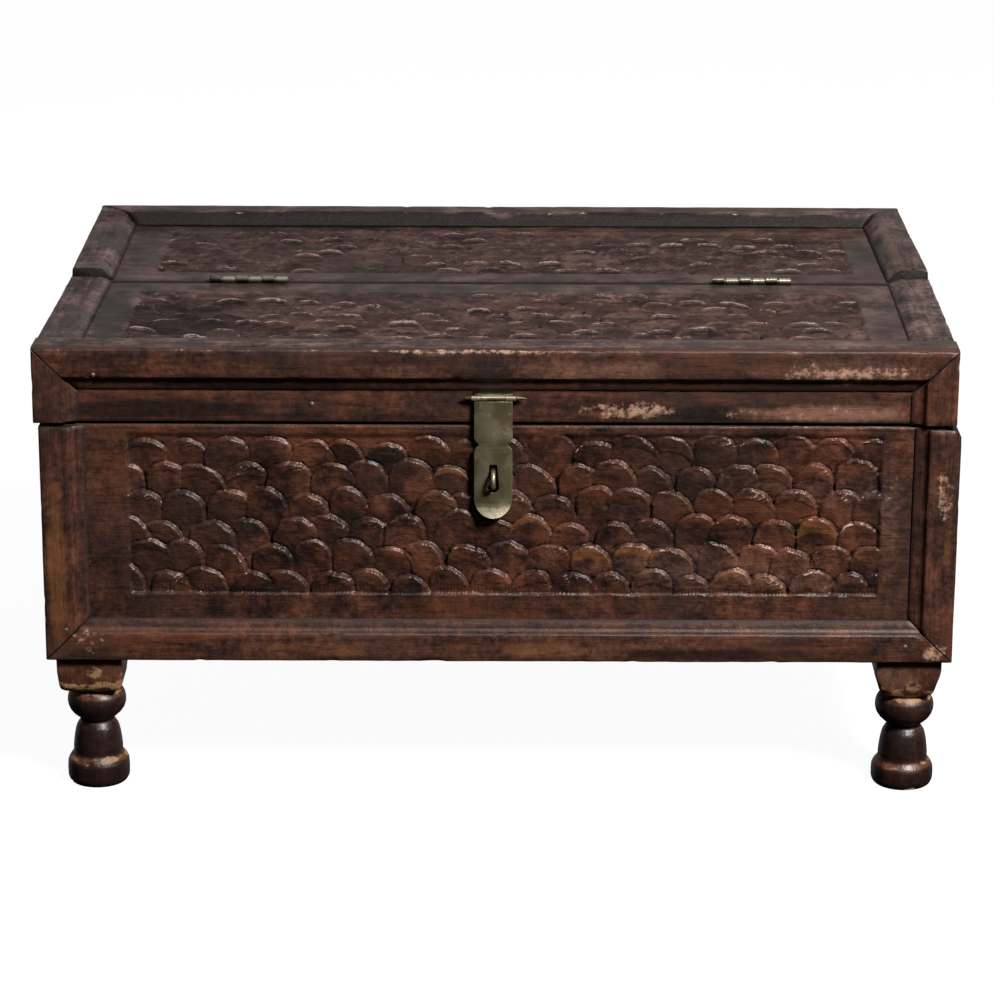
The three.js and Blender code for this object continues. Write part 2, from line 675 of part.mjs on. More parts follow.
// Lid boards
const lidTopBoard = board('lid_top_board', TOP_WOOD, [-wallSide, wallSide], [wallFront, lidRear],
  [panelUnder, panelTop]);
carryOnLid(cut(
  carved(lidTopBoard, [1, 0, 0], [0, 1, 0], TOP_CARVED_ROWS, LID_CARVING_MARGINS),
  ...barrelReliefs(),
  ...screwHoles(-1),
));
carryOnLid(board('lid_front_board', WOOD, [-wallSide, wallSide], [wallFront, insideFront],
  [lidBottom, panelUnder]));
carryOnLid(board('lid_rear_batten', INSIDE_WOOD, [-insideSide, insideSide], [lidRear - BOARD, lidRear],
  [battenUnder, panelUnder]));
carryOnLid(board('lid_front_top_strip', TOP_WOOD, [-side, side], [wallFront, stripRear], [panelTop, lidTop]));

// Lid mouldings
const haspLeafHalf = HASP_WIDTH / 2;
const haspLeafTop = haspZ + HASP_LEAF_HEIGHT;
const haspPocket = boxBetween(
  [HASP_CENTRE_X - haspLeafHalf - SWING_GAP, HASP_CENTRE_X + haspLeafHalf + SWING_GAP],
  [wallFront - HASP_THICKNESS - SWING_GAP, wallFront + SWING_GAP],
  [haspZ - HASP_DROP, haspLeafTop + SWING_GAP],
);
carryOnLid(cut(wallTrim('lid_front_rail', WOOD, {
  from: [-side, wallFront, lidTop],
  to: [side, wallFront, lidTop],
  across: [0, 0, -1],
  out: [0, -1, 0],
  mitres: [true, true],
}), haspPocket));

for (const [hand, sign] of [['left', -1], ['right', 1]]) {
  const wall = [sign * wallSide, sign * insideSide].sort((a, b) => a - b);
  const wallX = sign * wallSide;
  const out = [sign, 0, 0];
  carryOnLid(board(`lid_${hand}_side_board`, WOOD, wall, [insideFront, lidRear], [lidBottom, panelUnder]));
  carryOnLid(wallTrim(`lid_front_${hand}_stile`, WOOD, {
    from: [sign * side, wallFront, lidBottom],
    to: [sign * side, wallFront, lidTop],
    across: [-sign, 0, 0],
    out: [0, -1, 0],
    mitres: [false, true],
  }));
  carryOnLid(wallTrim(`lid_${hand}_side_rail`, WOOD, {
    from: [wallX, wallFront, panelTop],
    to: [wallX, lidRear, panelTop],
    across: [0, 0, -1],
    out,
    mitres: [true, false],
  }));
  carryOnLid(wallTrim(`lid_${hand}_side_front_stile`, WOOD, {
    from: [wallX, wallFront, lidBottom],
    to: [wallX, wallFront, panelTop],
    across: [0, 1, 0],
    out,
    mitres: [false, true],
  }));
  carryOnLid(topTrim(`lid_${hand}_top_moulding`, LID_TRIM_RISE, {
    from: [sign * side, stripRear, panelTop],
    to: [sign * side, lidTrimEnd, panelTop],
    across: [-sign, 0, 0],
    out: [0, 0, 1],
    mitres: [false, false],
  }));
}

// Hasp leaf: a plate let in behind the front rail, with a knuckle at each end of the barrel
function haspLeaf() {
  const plateBack = HASP_BARREL_STANDOFF + HASP_BARREL_RADIUS;
  const plateFront = plateBack - HASP_THICKNESS;
  const plateFoot = HASP_BARREL_RADIUS + SWING_GAP;
  const barrelHalf = HASP_BARREL_LENGTH / 2;
  const middleHalf = HASP_KNUCKLE_LENGTH / 2 + KNUCKLE_GAP;
  const parts = [boxBetween([-haspLeafHalf, haspLeafHalf], [plateFront, plateBack],
    [plateFoot, HASP_LEAF_HEIGHT])];
  for (const [x0, x1] of [[-barrelHalf, -middleHalf], [middleHalf, barrelHalf]]) {
    parts.push(rodAlongX(HASP_BARREL_RADIUS, x0, x1, 0, 0));
    const tab = [Math.max(x0, -haspLeafHalf), Math.min(x1, haspLeafHalf)];
    const tabFoot = HASP_BARREL_RADIUS / 2;
    parts.push(boxBetween(tab, [0, plateBack], [tabFoot, HASP_BARREL_RADIUS]));
    parts.push(boxBetween(tab, [plateFront, plateBack], [tabFoot, plateFoot + HASP_THICKNESS]));
  }
  const bore = rodAlongX(HASP_PIN_RADIUS + KNUCKLE_GAP, -HASP_WIDTH, HASP_WIDTH, 0, 0);
  const mesh = named('hasp_leaf', without(joined(...parts), bore), OLD_BRASS);
  mesh.position.copy(haspPivot);
  return mesh;
}

// Hasp pin: a rod whose ends are forged to points outside the barrel
function haspPin() {
  const shoulder = HASP_BARREL_LENGTH / 2 + KNUCKLE_GAP;
  const tip = shoulder + HASP_PIN_POINT_LENGTH;
  const mesh = named('hasp_pin', turned([
    [0, -tip],
    [HASP_PIN_POINT_RADIUS, -shoulder],
    [HASP_PIN_RADIUS, -shoulder],
    [HASP_PIN_RADIUS, shoulder],
    [HASP_PIN_POINT_RADIUS, shoulder],
    [0, tip],
  ], ROUND_SIDES), OLD_BRASS);
  mesh.rotation.y = Math.PI / 2;
  mesh.position.copy(haspPivot);
  return mesh;
}

// Hasp strap: a notched plate with a slot for the staple and a round tip bent outwards
function haspOutline() {
  const half = HASP_WIDTH / 2;
  const shoulder = -HASP_BARREL_RADIUS - SWING_GAP;
  const tipCentre = half - HASP_LENGTH;
  const notchTop = HASP_NOTCH_HEIGHT / 2 - HASP_NOTCH_DROP;
  const notchFoot = -HASP_NOTCH_HEIGHT / 2 - HASP_NOTCH_DROP;
  const knuckleHalf = HASP_KNUCKLE_LENGTH / 2;
  const outline = new THREE.Shape();
  outline.moveTo(-knuckleHalf, 0);
  outline.lineTo(-knuckleHalf, shoulder);
  outline.lineTo(-half, shoulder);
  outline.lineTo(-half, notchTop);
  outline.lineTo(HASP_NOTCH_DEPTH - half, -HASP_NOTCH_DROP);
  outline.lineTo(-half, notchFoot);
  outline.lineTo(-half, tipCentre);
  outline.absarc(0, tipCentre, half, Math.PI, 2 * Math.PI, false);
  outline.lineTo(half, notchFoot);
  outline.lineTo(half - HASP_NOTCH_DEPTH, -HASP_NOTCH_DROP);
  outline.lineTo(half, notchTop);
  outline.lineTo(half, shoulder);
  outline.lineTo(knuckleHalf, shoulder);
  outline.lineTo(knuckleHalf, 0);
  const slotHalf = HASP_SLOT_WIDTH / 2;
  const slotStraight = HASP_SLOT_LENGTH / 2 - slotHalf;
  const slot = new THREE.Path();
  slot.absarc(0, slotStraight - HASP_SLOT_DROP, slotHalf, 0, Math.PI, false);
  slot.absarc(0, -slotStraight - HASP_SLOT_DROP, slotHalf, Math.PI, 2 * Math.PI, false);
  outline.holes.push(slot);
  return outline;
}

function haspStrap() {
  const plate = new THREE.ExtrudeGeometry(haspOutline(), {
    depth: HASP_THICKNESS,
    bevelEnabled: false,
    curveSegments: HASP_TIP_STEPS,
  });
  plate.rotateX(Math.PI / 2).translate(0, HASP_THICKNESS / 2, 0);
  const spots = plate.attributes.position;
  for (let i = 0; i < spots.count; i += 1) {
    const intoLip = Math.max(0, HASP_LIP_LENGTH - HASP_LENGTH - spots.getZ(i)) / HASP_LIP_LENGTH;
    spots.setY(i, spots.getY(i) - HASP_LIP_REACH * intoLip ** 1.5);
  }
  const half = HASP_KNUCKLE_LENGTH / 2;
  const knuckle = rodAlongX(HASP_BARREL_RADIUS, -half, half, 0, 0);
  const bore = rodAlongX(HASP_PIN_RADIUS + KNUCKLE_GAP, -HASP_WIDTH, HASP_WIDTH, 0, 0);
  const mesh = named('hasp_strap', without(joined(plate, knuckle), bore), OLD_BRASS);
  mesh.position.copy(haspPivot);
  return mesh;
}

carryOnLid(haspLeaf());
carryOnLid(haspPin());
carryOnHasp(haspStrap());

export default chest;
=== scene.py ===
# %% [markdown]
# # A carved chest with a hinged lid
#
# This lesson dresses a wooden chest that already exists as a bare CAD model. The real one is an old
# hardwood box with fish-scale carving on its faces, worn mouldings round every panel, four turned
# feet and brass fittings. The CAD model says where each board is and what moves. Here each board is
# made again with the marks of gouge, plane and long use, and is told which moving body it rides on.

import json
import math

import bmesh
import bpy
import numpy as np
from mathutils import Matrix, Vector


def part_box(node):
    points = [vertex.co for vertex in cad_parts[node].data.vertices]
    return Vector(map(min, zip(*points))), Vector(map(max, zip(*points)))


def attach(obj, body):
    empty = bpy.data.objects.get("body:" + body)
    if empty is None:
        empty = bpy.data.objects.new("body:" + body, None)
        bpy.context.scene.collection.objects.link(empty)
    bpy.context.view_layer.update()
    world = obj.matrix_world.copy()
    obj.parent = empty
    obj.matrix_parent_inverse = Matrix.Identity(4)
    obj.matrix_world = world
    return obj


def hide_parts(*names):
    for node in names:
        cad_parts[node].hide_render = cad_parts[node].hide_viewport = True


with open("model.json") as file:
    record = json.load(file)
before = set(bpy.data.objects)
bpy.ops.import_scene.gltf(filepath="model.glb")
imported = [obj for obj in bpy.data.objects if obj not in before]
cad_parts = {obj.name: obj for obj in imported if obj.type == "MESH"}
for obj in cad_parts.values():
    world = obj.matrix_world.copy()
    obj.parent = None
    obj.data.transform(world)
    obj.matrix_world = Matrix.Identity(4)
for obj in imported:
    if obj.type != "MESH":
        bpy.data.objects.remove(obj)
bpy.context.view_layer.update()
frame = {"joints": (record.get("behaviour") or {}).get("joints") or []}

# %% [markdown]
# ## The camera
#
# A camera in Blender can be placed by eye, but here its place was worked out from the corners of the
# chest, so it is written down: a long lens two metres away that looks 17 degrees down. The axes of
# the camera are built by hand, because that way the slight tilt of the picture is plain to see.

# %% Camera
MM = 0.001
EYE = Vector((-3.6, -2183.8, 819.1)) * MM
TURN, DOWN, TILT = (math.radians(a) for a in (0.055, 17.422, 0.217))
FOCAL_PIXELS = 3510.0
PICTURE_PIXELS = 995
SENSOR = 36.0

ahead = Vector((math.sin(TURN) * math.cos(DOWN), math.cos(TURN) * math.cos(DOWN), -math.sin(DOWN)))
level = Vector((math.cos(TURN), -math.sin(TURN), 0))
upward = level.cross(ahead)
right = level * math.cos(TILT) + upward * math.sin(TILT)
top = upward * math.cos(TILT) - level * math.sin(TILT)

camera = bpy.data.objects.new("camera", bpy.data.cameras.new("camera"))
bpy.context.scene.collection.objects.link(camera)
camera.matrix_world = Matrix((
    (right.x, top.x, -ahead.x, EYE.x),
    (right.y, top.y, -ahead.y, EYE.y),
    (right.z, top.z, -ahead.z, EYE.z),
    (0, 0, 0, 1),
))
camera.data.sensor_width = SENSOR
camera.data.lens = FOCAL_PIXELS * SENSOR / PICTURE_PIXELS
bpy.context.scene.camera = camera
print("lens of", round(camera.data.lens, 1), "mm")

# %% [markdown]
# ## Writing shader maths as expressions
#
# A material is a web of nodes. Adding and linking them one by one hides what they compute, so one
# small class wraps a node's output and gives it the usual operators. `1 - mask` then adds a Math
# node, and any other node comes from the method `node`, with its settings first.


# %% A signal that flows through the nodes of a material
class Signal:
    """One output of a node, with arithmetic that adds Math nodes."""

    def __init__(self, tree, socket=None):
        self.tree = tree
        self.socket = socket

    def node(self, kind, settings=(), inputs=(), output=0):
        made = self.tree.nodes.new("ShaderNode" + kind)
        for key, value in dict(settings).items():
            if key == "stops":
                self.fill_ramp(made.color_ramp, value)
            else:
                setattr(made, key, value)
        for key, value in dict(inputs).items():
            if isinstance(value, Signal):
                self.tree.links.new(value.socket, made.inputs[key])
            else:
                made.inputs[key].default_value = value
        return Signal(self.tree, made.outputs[output])

    @staticmethod
    def fill_ramp(ramp, stops):
        while len(ramp.elements) < len(stops):
            ramp.elements.new(1.0)
        for element, (place, colour) in zip(ramp.elements, stops):
            element.position = place
            element.color = (*colour, 1.0)

    def maths(self, operation, first, second):
        return self.node("Math", {"operation": operation}, {0: first, 1: second})

    def __add__(self, other):
        return self.maths("ADD", self, other)

    def __radd__(self, other):
        return self.maths("ADD", other, self)

    def __sub__(self, other):
        return self.maths("SUBTRACT", self, other)

    def __rsub__(self, other):
        return self.maths("SUBTRACT", other, self)

    def __mul__(self, other):
        return self.maths("MULTIPLY", self, other)

    def __rmul__(self, other):
        return self.maths("MULTIPLY", other, self)


# %% Steps that every finish uses
def colour(code):
    """A colour written as on the web, such as "3a2018", as Blender's linear red, green and blue."""
    shares = [int(code[i:i + 2], 16) / 255 for i in (0, 2, 4)]
    return tuple(s / 12.92 if s <= 0.04045 else ((s + 0.055) / 1.055) ** 2.4 for s in shares)


def blend(below, above, amount):
    """Colour above laid over colour below where amount is 1."""
    source = next(s for s in (below, above, amount) if isinstance(s, Signal))
    below, above = (s if isinstance(s, Signal) else (*s, 1.0) for s in (below, above))
    return source.node("Mix", {"data_type": "RGBA"}, {0: amount, 6: below, 7: above}, output=2)


def fade(signal, start, end):
    """0 up to start, 1 from end on, and a smooth rise between."""
    return signal.node("MapRange", {"interpolation_type": "SMOOTHSTEP"},
                       {"Value": signal, "From Min": start, "From Max": end})


def stretched(place, scale, shift):
    """The place with each axis scaled by itself, and moved so that no two finishes look alike."""
    return place.node("VectorMath", {"operation": "MULTIPLY_ADD"}, {0: place, 1: scale, 2: shift})


def cloud(place, scale, detail=3.0, rough=0.55, distortion=0.0):
    """Soft noise from 0 to 1."""
    return place.node("TexNoise", {}, {
        "Vector": place, "Scale": scale, "Detail": detail, "Roughness": rough, "Distortion": distortion})


def painted(place, name):
    """What was painted on the mesh under this name, from 0 to 1."""
    return place.node("Attribute", {"attribute_name": name}, output="Fac")


def start_finish(name):
    """A new material with its main shader, and the place of each point in metres."""
    material = bpy.data.materials.new(name)
    material.use_nodes = True
    tree = material.node_tree
    shader = tree.nodes["Principled BSDF"]
    place = Signal(tree).node("TexCoord", output="Object")
    return material, shader, place


def feed(shader, **signals):
    """Links signals to the shader's sockets. An underscore in a name stands for a space."""
    for name, signal in signals.items():
        signal.tree.links.new(signal.socket, shader.inputs[name.replace("_", " ")])


# %% [markdown]
# ## The wood
#
# The timber is a dark tropical hardwood that was stained, waxed and then handled for decades. What
# the eye reads as wood is a stack of layers: long growth bands, fine pores that run along the grain,
# blots of old stain, amber patches where the polish wore thin, bare tan wood on knocked edges and
# grime in every corner. The last four depend on the shape, so the mesh code paints them on the
# vertices, and the material only breaks up their borders with noise. Some of that paint is light
# and shade: the pale paint on the lit side of the carved rims is partly painted highlight, and the
# dark paint in the cuts of the carving, in the coves of the mouldings and on the slope of the rear
# rail is partly painted shade.

# %% Wood finish
GRAIN_STRETCH = {"x": (0.09, 1.0, 1.0), "y": (1.0, 0.09, 1.0), "z": (1.0, 1.0, 0.09)}
PORE_STRETCH = {"x": (0.05, 1.0, 1.0), "y": (1.0, 0.05, 1.0), "z": (1.0, 1.0, 0.05)}
EVEN = (1.0, 1.0, 1.0)
BLACKENED = colour("150e0e")
AMBER = colour("7d5130")
FADED = colour("946c5b")
BARE_WOOD = colour("c49d84")
# Near black for dirt in the pores, for grime and for painted shade.
GRIME_AND_SHADE = colour("0b0706")


def wood(name, grain, tones, seed, wax=0.5, relief=0.35, rubbed_and_highlight_wood=BARE_WOOD, figure=0.3, mirror=0.45):
    """Stained timber. tones are its dark, middle and light colour, a cooler and a warmer one. wax says
    how much of a shine it has, figure how clearly its growth bands show, and mirror how strongly it
    reflects at all."""
    material, shader, place = start_finish(name)
    shader.inputs["Specular IOR Level"].default_value = mirror
    shader.inputs["Coat Roughness"].default_value = 0.3
    shift = (seed * 1.37, seed * 2.11, seed * 0.73)
    along = stretched(place, GRAIN_STRETCH[grain], shift)
    even = stretched(place, EVEN, shift)
    bands = cloud(along, 230.0, 4.0, 0.62, 0.35)
    pores = cloud(stretched(place, PORE_STRETCH[grain], shift), 1300.0, 2.0, 0.5)
    mottle = cloud(even, 45.0, 4.0, 0.62)
    flecks = cloud(even, 210.0, 4.0, 0.7)
    chisel = cloud(even, 420.0, 3.0, 0.7)
    smear = cloud(along, 62.0, 3.0, 0.6, 0.4)
    drift = cloud(even, 11.0, 2.0, 0.5)

    shade = bands * figure + flecks * 0.3 + mottle * (0.7 - figure)
    stops = [(0.40, tones[0]), (0.50, tones[1]), (0.60, tones[2])]
    wooden = shade.node("ValToRGB", {"stops": stops}, {0: shade})
    wooden = blend(wooden, tones[3], fade(drift, 0.44, 0.66) * 0.55)
    glaze = cloud(along, 34.0, 4.0, 0.65, 0.6)
    wooden = blend(wooden, tones[4], fade(glaze, 0.50, 0.68) * 0.6)
    streaks = fade(smear, 0.54, 0.70) * fade(bands, 0.38, 0.58)
    wooden = blend(wooden, BLACKENED, streaks * (figure * 1.8))
    # Black stain, and on the left of each scale and the slope of the rear rail partly painted shade.
    black_stain_and_shade_mask = fade(smear * 0.5 + mottle * 0.3 + painted(place, "char"), 0.62, 1.05)
    tinted = blend(wooden, BLACKENED, black_stain_and_shade_mask * 0.85)
    honey = fade(painted(place, "amber") + (mottle - 0.5) * 0.8, 0.2, 0.9)
    tinted = blend(tinted, AMBER, honey * (0.25 + flecks * 0.8))
    paler = fade(painted(place, "faded") + (smear - 0.5) * 0.7 + (flecks - 0.5) * 0.5, 0.15, 0.85)
    tinted = blend(tinted, FADED, paler * 0.75)
    # Pale paint: rubbed wood, and on the carved rims partly a painted highlight.
    pale_share = fade(painted(place, "bare") + (smear - 0.5) * 0.9 + (flecks - 0.5) * 1.3, 0.52, 0.80)
    tinted = blend(tinted, rubbed_and_highlight_wood, pale_share * (0.1 + 0.6 * flecks + 0.6 * mottle))
    pitted = fade(0.42 - pores, 0.0, 0.08)
    tinted = blend(tinted, GRIME_AND_SHADE, pitted * 0.45)
    # Dark paint: grime, and in cuts and coves and on the slope of the rear rail partly painted shade.
    grime_and_shade_mask = fade(painted(place, "grime") + (mottle - 0.5) * 0.4, 0.2, 0.9)
    tinted = blend(tinted, GRIME_AND_SHADE, grime_and_shade_mask * 0.9)

    polish = wax * (1 - grime_and_shade_mask) * (1 - pale_share * 0.5) * (0.45 + mottle)
    rough = 0.68 + pale_share * 0.12 + (flecks - 0.5) * 0.3 - polish * 0.42
    height = bands * 0.4 + pores * 0.3 + flecks * 0.6 + smear * 0.5 + pale_share * (flecks - 0.6)
    height = height + chisel * 0.35
    bumpy = height.node("Bump", {}, {"Strength": relief, "Distance": 0.0009, "Height": height})
    feed(shader, Base_Color=tinted, Roughness=rough, Coat_Weight=polish * 0.2, Normal=bumpy)
    return material


# %% Finishes for the parts of the chest
FRONT_TONES = tuple(map(colour, ("1d110e", "45291f", "69402f", "382a25", "693c26")))
CARVED_TOP_TONES = tuple(map(colour, ("1e1413", "44312e", "68504a", "362f2a", "50382f")))
# The plain tops are greyer than the walls: partly dust and wear, partly painted sheen of the bright
# backdrop that they mirror.
TOP_TONES = tuple(map(colour, ("241a19", "50403e", "7d6762", "3a3432", "634a42")))
GREY_WEAR = colour("b59d94")
# Pale paint on the rims of the carved tops: partly rubbed wood, partly painted sheen.
DULL_WEAR_AND_SHEEN = colour("9a857d")
FOOT_WEAR = colour("ad8862")
FOOT_TONES = tuple(map(colour, ("2a1712", "5e3828", "8c573f", "45302a", "7d4a30")))
RAW_TONES = tuple(map(colour, ("3b2517", "5a3c26", "7a5536", "4e3522", "6e4426")))
# Pale paint on the rims of the carved walls: partly rubbed wood, partly painted highlight.
PALE_WEAR_AND_HIGHLIGHT = colour("ccae9e")

finishes = {
    "front x": wood("front_wood_across", "x", FRONT_TONES, 1),
    "carved front": wood("carved_front_wood", "x", FRONT_TONES, 10, 0.65, 0.6, PALE_WEAR_AND_HIGHLIGHT, 0.12),
    "carved side": wood("carved_side_wood", "y", FRONT_TONES, 11, 0.65, 0.6, PALE_WEAR_AND_HIGHLIGHT, 0.12),
    "front z": wood("front_wood_upright", "z", FRONT_TONES, 2),
    "side y": wood("side_wood_along", "y", FRONT_TONES, 3),
    "carved top": wood("carved_top_wood", "x", CARVED_TOP_TONES, 4, 0.8, 0.6, DULL_WEAR_AND_SHEEN, 0.2, 0.32),
    "top x": wood("top_wood_across", "x", TOP_TONES, 5, 0.4, 0.7, GREY_WEAR, mirror=0.3),
    "top y": wood("top_wood_along", "y", TOP_TONES, 9, 0.4, 0.7, GREY_WEAR, mirror=0.3),
    "foot": wood("foot_wood", "z", FOOT_TONES, 6, 0.75, 0.45, FOOT_WEAR),
    "raw x": wood("inside_wood_across", "x", RAW_TONES, 7, wax=0.0),
    "raw y": wood("inside_wood_along", "y", RAW_TONES, 8, wax=0.0),
}
print(len(finishes), "wood finishes")

# %% [markdown]
# ## The brass
#
# The hasp and the hinges are sheet brass. The hasp has dulled to olive brown, with scratches that
# still shine and edges rubbed bright. The hinge barrels are handled with every opening and are much
# paler. Both are one recipe with other numbers.


# %% Brass finish
def brass(name, dull, shine, tarnish, rough, seed):
    """Sheet brass. tarnish says how much of it has gone dull, from 0 to 1."""
    material, shader, place = start_finish(name)
    shift = (seed * 0.37, seed * 0.11, seed * 0.53)
    spots = cloud(stretched(place, EVEN, shift), 190.0, 4.0, 0.65)
    clouds = cloud(stretched(place, (1.0, 1.0, 0.7), shift), 75.0, 2.0, 0.5)
    scratches = cloud(stretched(place, (1.0, 1.0, 0.16), shift), 900.0, 3.0, 0.6, 0.8)
    dull = blend(dull, shine, fade(clouds, 0.42, 0.70) * 0.22)
    clean = fade(spots + (scratches - 0.5) * 0.5 + painted(place, "bare") * 0.7, tarnish, tarnish + 0.3)
    shade = blend(dull, shine, clean)
    # Grime, and the painted shade on the hasp's leaf under the lid's rail, turn the brass almost black.
    shade = blend(shade, GRIME_AND_SHADE, painted(place, "grime") * 0.92)
    shader.inputs["Metallic"].default_value = 0.85
    dents = clouds * 3.0 + spots + scratches * 0.5
    bumpy = spots.node("Bump", {}, {"Strength": 0.35, "Distance": 0.0003, "Height": dents})
    feed(shader, Base_Color=shade, Roughness=rough + (1 - clean) * 0.22, Normal=bumpy)
    return material


finishes["old brass"] = brass("old_brass", colour("746b4f"), colour("e0d9bc"), 0.66, 0.32, 1)
finishes["bright brass"] = brass("bright_brass", colour("857652"), colour("efe6cc"), 0.42, 0.28, 2)
finishes["old nail"] = brass("nail_heads", colour("4a443c"), colour("b8aa98"), 0.45, 0.4, 3)

# %% [markdown]
# ## Light and floor
#
# A product picture of this kind is lit by a soft box on one side, a weaker one overhead, and the
# white backdrop behind the chest. The backdrop is what turns the waxed top grey: a flat surface
# mirrors it, a slope that faces the viewer mirrors the dark room instead. So the sky of the scene has
# a bright band low at the back and is dark below, because the real undersides are almost black. The
# floor is a plain pale sheet that takes only a faint shadow, and it doesn't throw light back.


# %% Soft boxes, sky and floor
def soft_box(name, place, aim, size, watts, tint=(1.0, 1.0, 1.0)):
    """A square area light at place that faces aim, both in metres."""
    light = bpy.data.lights.new(name, "AREA")
    light.shape = "RECTANGLE"
    light.size, light.size_y = size
    light.energy = watts
    light.color = tint
    lamp = bpy.data.objects.new(name, light)
    bpy.context.scene.collection.objects.link(lamp)
    lamp.location = place
    lamp.rotation_euler = (Vector(aim) - Vector(place)).to_track_quat("-Z", "Y").to_euler()


soft_box("key_box", (1.15, -1.6, 1.95), (0, 0, 0.18), (0.55, 0.55), 105, (1.0, 0.95, 0.91))
soft_box("ceiling_box", (0.1, 0.4, 2.6), (0, 0, 0.2), (2.2, 1.6), 4)

world = bpy.data.worlds.new("studio")
bpy.context.scene.world = world
world.use_nodes = True
sky = world.node_tree.nodes["Background"]
direction = Signal(world.node_tree).node("TexCoord", output="Generated")
sky_y = direction.node("SeparateXYZ", {}, {0: direction}, output="Y")
sky_z = direction.node("SeparateXYZ", {}, {0: direction}, output="Z")
glow = blend(colour("2a2828"), colour("808080"), fade(sky_z, -0.1, 0.9))
backdrop = fade(sky_y, 0.2, 0.8) * fade(sky_z, -0.5, -0.2) * (1 - fade(sky_z, 0.2, 0.55))
glow = blend(glow, colour("d4d0d0"), backdrop)
world.node_tree.links.new(glow.socket, sky.inputs["Color"])
sky.inputs["Strength"].default_value = 0.5

FLOOR_HALF = 9.0
floor_mesh = bpy.data.meshes.new("floor")
floor_shape = bmesh.new()
bmesh.ops.create_grid(floor_shape, x_segments=4, y_segments=4, size=FLOOR_HALF)
floor_shape.to_mesh(floor_mesh)
floor_shape.free()
floor = bpy.data.objects.new("floor", floor_mesh)
bpy.context.scene.collection.objects.link(floor)
floor_finish, floor_shader, floor_place = start_finish("pale_floor")
paper = cloud(floor_place, 3.0, 2.0)
feed(floor_shader, Base_Color=blend(colour("606060"), colour("686868"), paper))
floor_shader.inputs["Roughness"].default_value = 1.0
floor_shader.inputs["Specular IOR Level"].default_value = 0.0
floor_shader.inputs["Emission Color"].default_value = (1.0, 1.0, 1.0, 1.0)
floor_shader.inputs["Emission Strength"].default_value = 0.955
floor.data.materials.append(floor_finish)
floor.visible_diffuse = False
floor.visible_glossy = False
bpy.context.scene.view_settings.view_transform = "Standard"
print("two soft boxes, a sky and a floor")

# %% [markdown]
# ## Noise for the hand of the maker
#
# No edge of the real chest is straight and no two scales are alike. All of that comes from one
# source: values on a lattice of points, blended smoothly between them. It is worked out for whole
# arrays at once, and it gives the same result each time the script runs.


# %% Noise on arrays of points
def hashed(cells, seed):
    """A value from 0 to 1 for each whole-numbered cell."""
    x, y, z = (cells[..., i].astype(np.uint32) for i in range(3))
    mixed = x * np.uint32(374761393) + y * np.uint32(668265263) + z * np.uint32(2246822519)
    mixed = mixed + np.uint32(seed * 3266489917 % 2**32)
    mixed = (mixed ^ (mixed >> np.uint32(15))) * np.uint32(2246822519)
    mixed = (mixed ^ (mixed >> np.uint32(13))) * np.uint32(3266489917)
    return ((mixed ^ (mixed >> np.uint32(16))) & np.uint32(0xFFFFFF)) / float(0xFFFFFF)


def noise(points, size, seed, octaves=2):
    """Smooth noise from 0 to 1 at points in millimetres. size is that of its largest lumps, one
    number or one for each axis."""
    total, weight, whole = 0.0, 1.0, 0.0
    for octave in range(octaves):
        scaled = points / (np.asarray(size, float) / 2**octave) + 97.0 + 13.7 * octave
        cell = np.floor(scaled).astype(np.int64)
        share = scaled - cell
        share = share * share * (3 - 2 * share)
        value = 0.0
        for corner in range(8):
            step = np.array([corner & 1, corner >> 1 & 1, corner >> 2 & 1])
            near = np.where(step == 1, share, 1 - share).prod(axis=-1)
            value = value + near * hashed(cell + step, seed + 31 * octave)
        total = total + weight * value
        whole += weight
        weight *= 0.5
    return total / whole


def smooth(values, low, high):
    """0 below low, 1 above high, and a smooth rise between."""
    share = np.clip((values - low) / (high - low), 0, 1)
    return share * share * (3 - 2 * share)


# %% [markdown]
# ## Turning arrays into pieces
#
# Every piece ends in the same few steps: its points become a mesh in metres, the painted values
# become attributes, the object is told its body, and the CAD nodes that it stands for are hidden.
# The boards are found by asking the frame where their nodes are. Most meshes are rows of rings, so
# one helper joins each ring to the next with quads.

# %% Helpers that make and place a piece
AXIS = {"x": 0, "y": 1, "z": 2}


def extent(node):
    """Lowest and highest corner of a CAD node in millimetres."""
    low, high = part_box(node)
    return np.array(low) / MM, np.array(high) / MM


def pivot(joint):
    """A point on the axis of a joint of the frame, in millimetres."""
    return np.array(next(j["pos_m"] for j in frame["joints"] if j["name"] == joint)) / MM


def direction_of(word):
    """A unit vector for a word such as "+x" or "-y"."""
    vector = np.zeros(3)
    vector[AXIS[word[1]]] = 1.0 if word[0] == "+" else -1.0
    return vector


def bridged(rings):
    """Quads between rings of point numbers, each ring as long as the next."""
    faces = []
    for near, far in zip(rings, rings[1:]):
        faces += np.stack([near, np.roll(near, -1), np.roll(far, -1), far], axis=1).tolist()
    return faces


def capped(rings):
    """The same, with a face over the first ring and over the last."""
    return bridged(rings) + [rings[0][::-1].tolist(), rings[-1].tolist()]


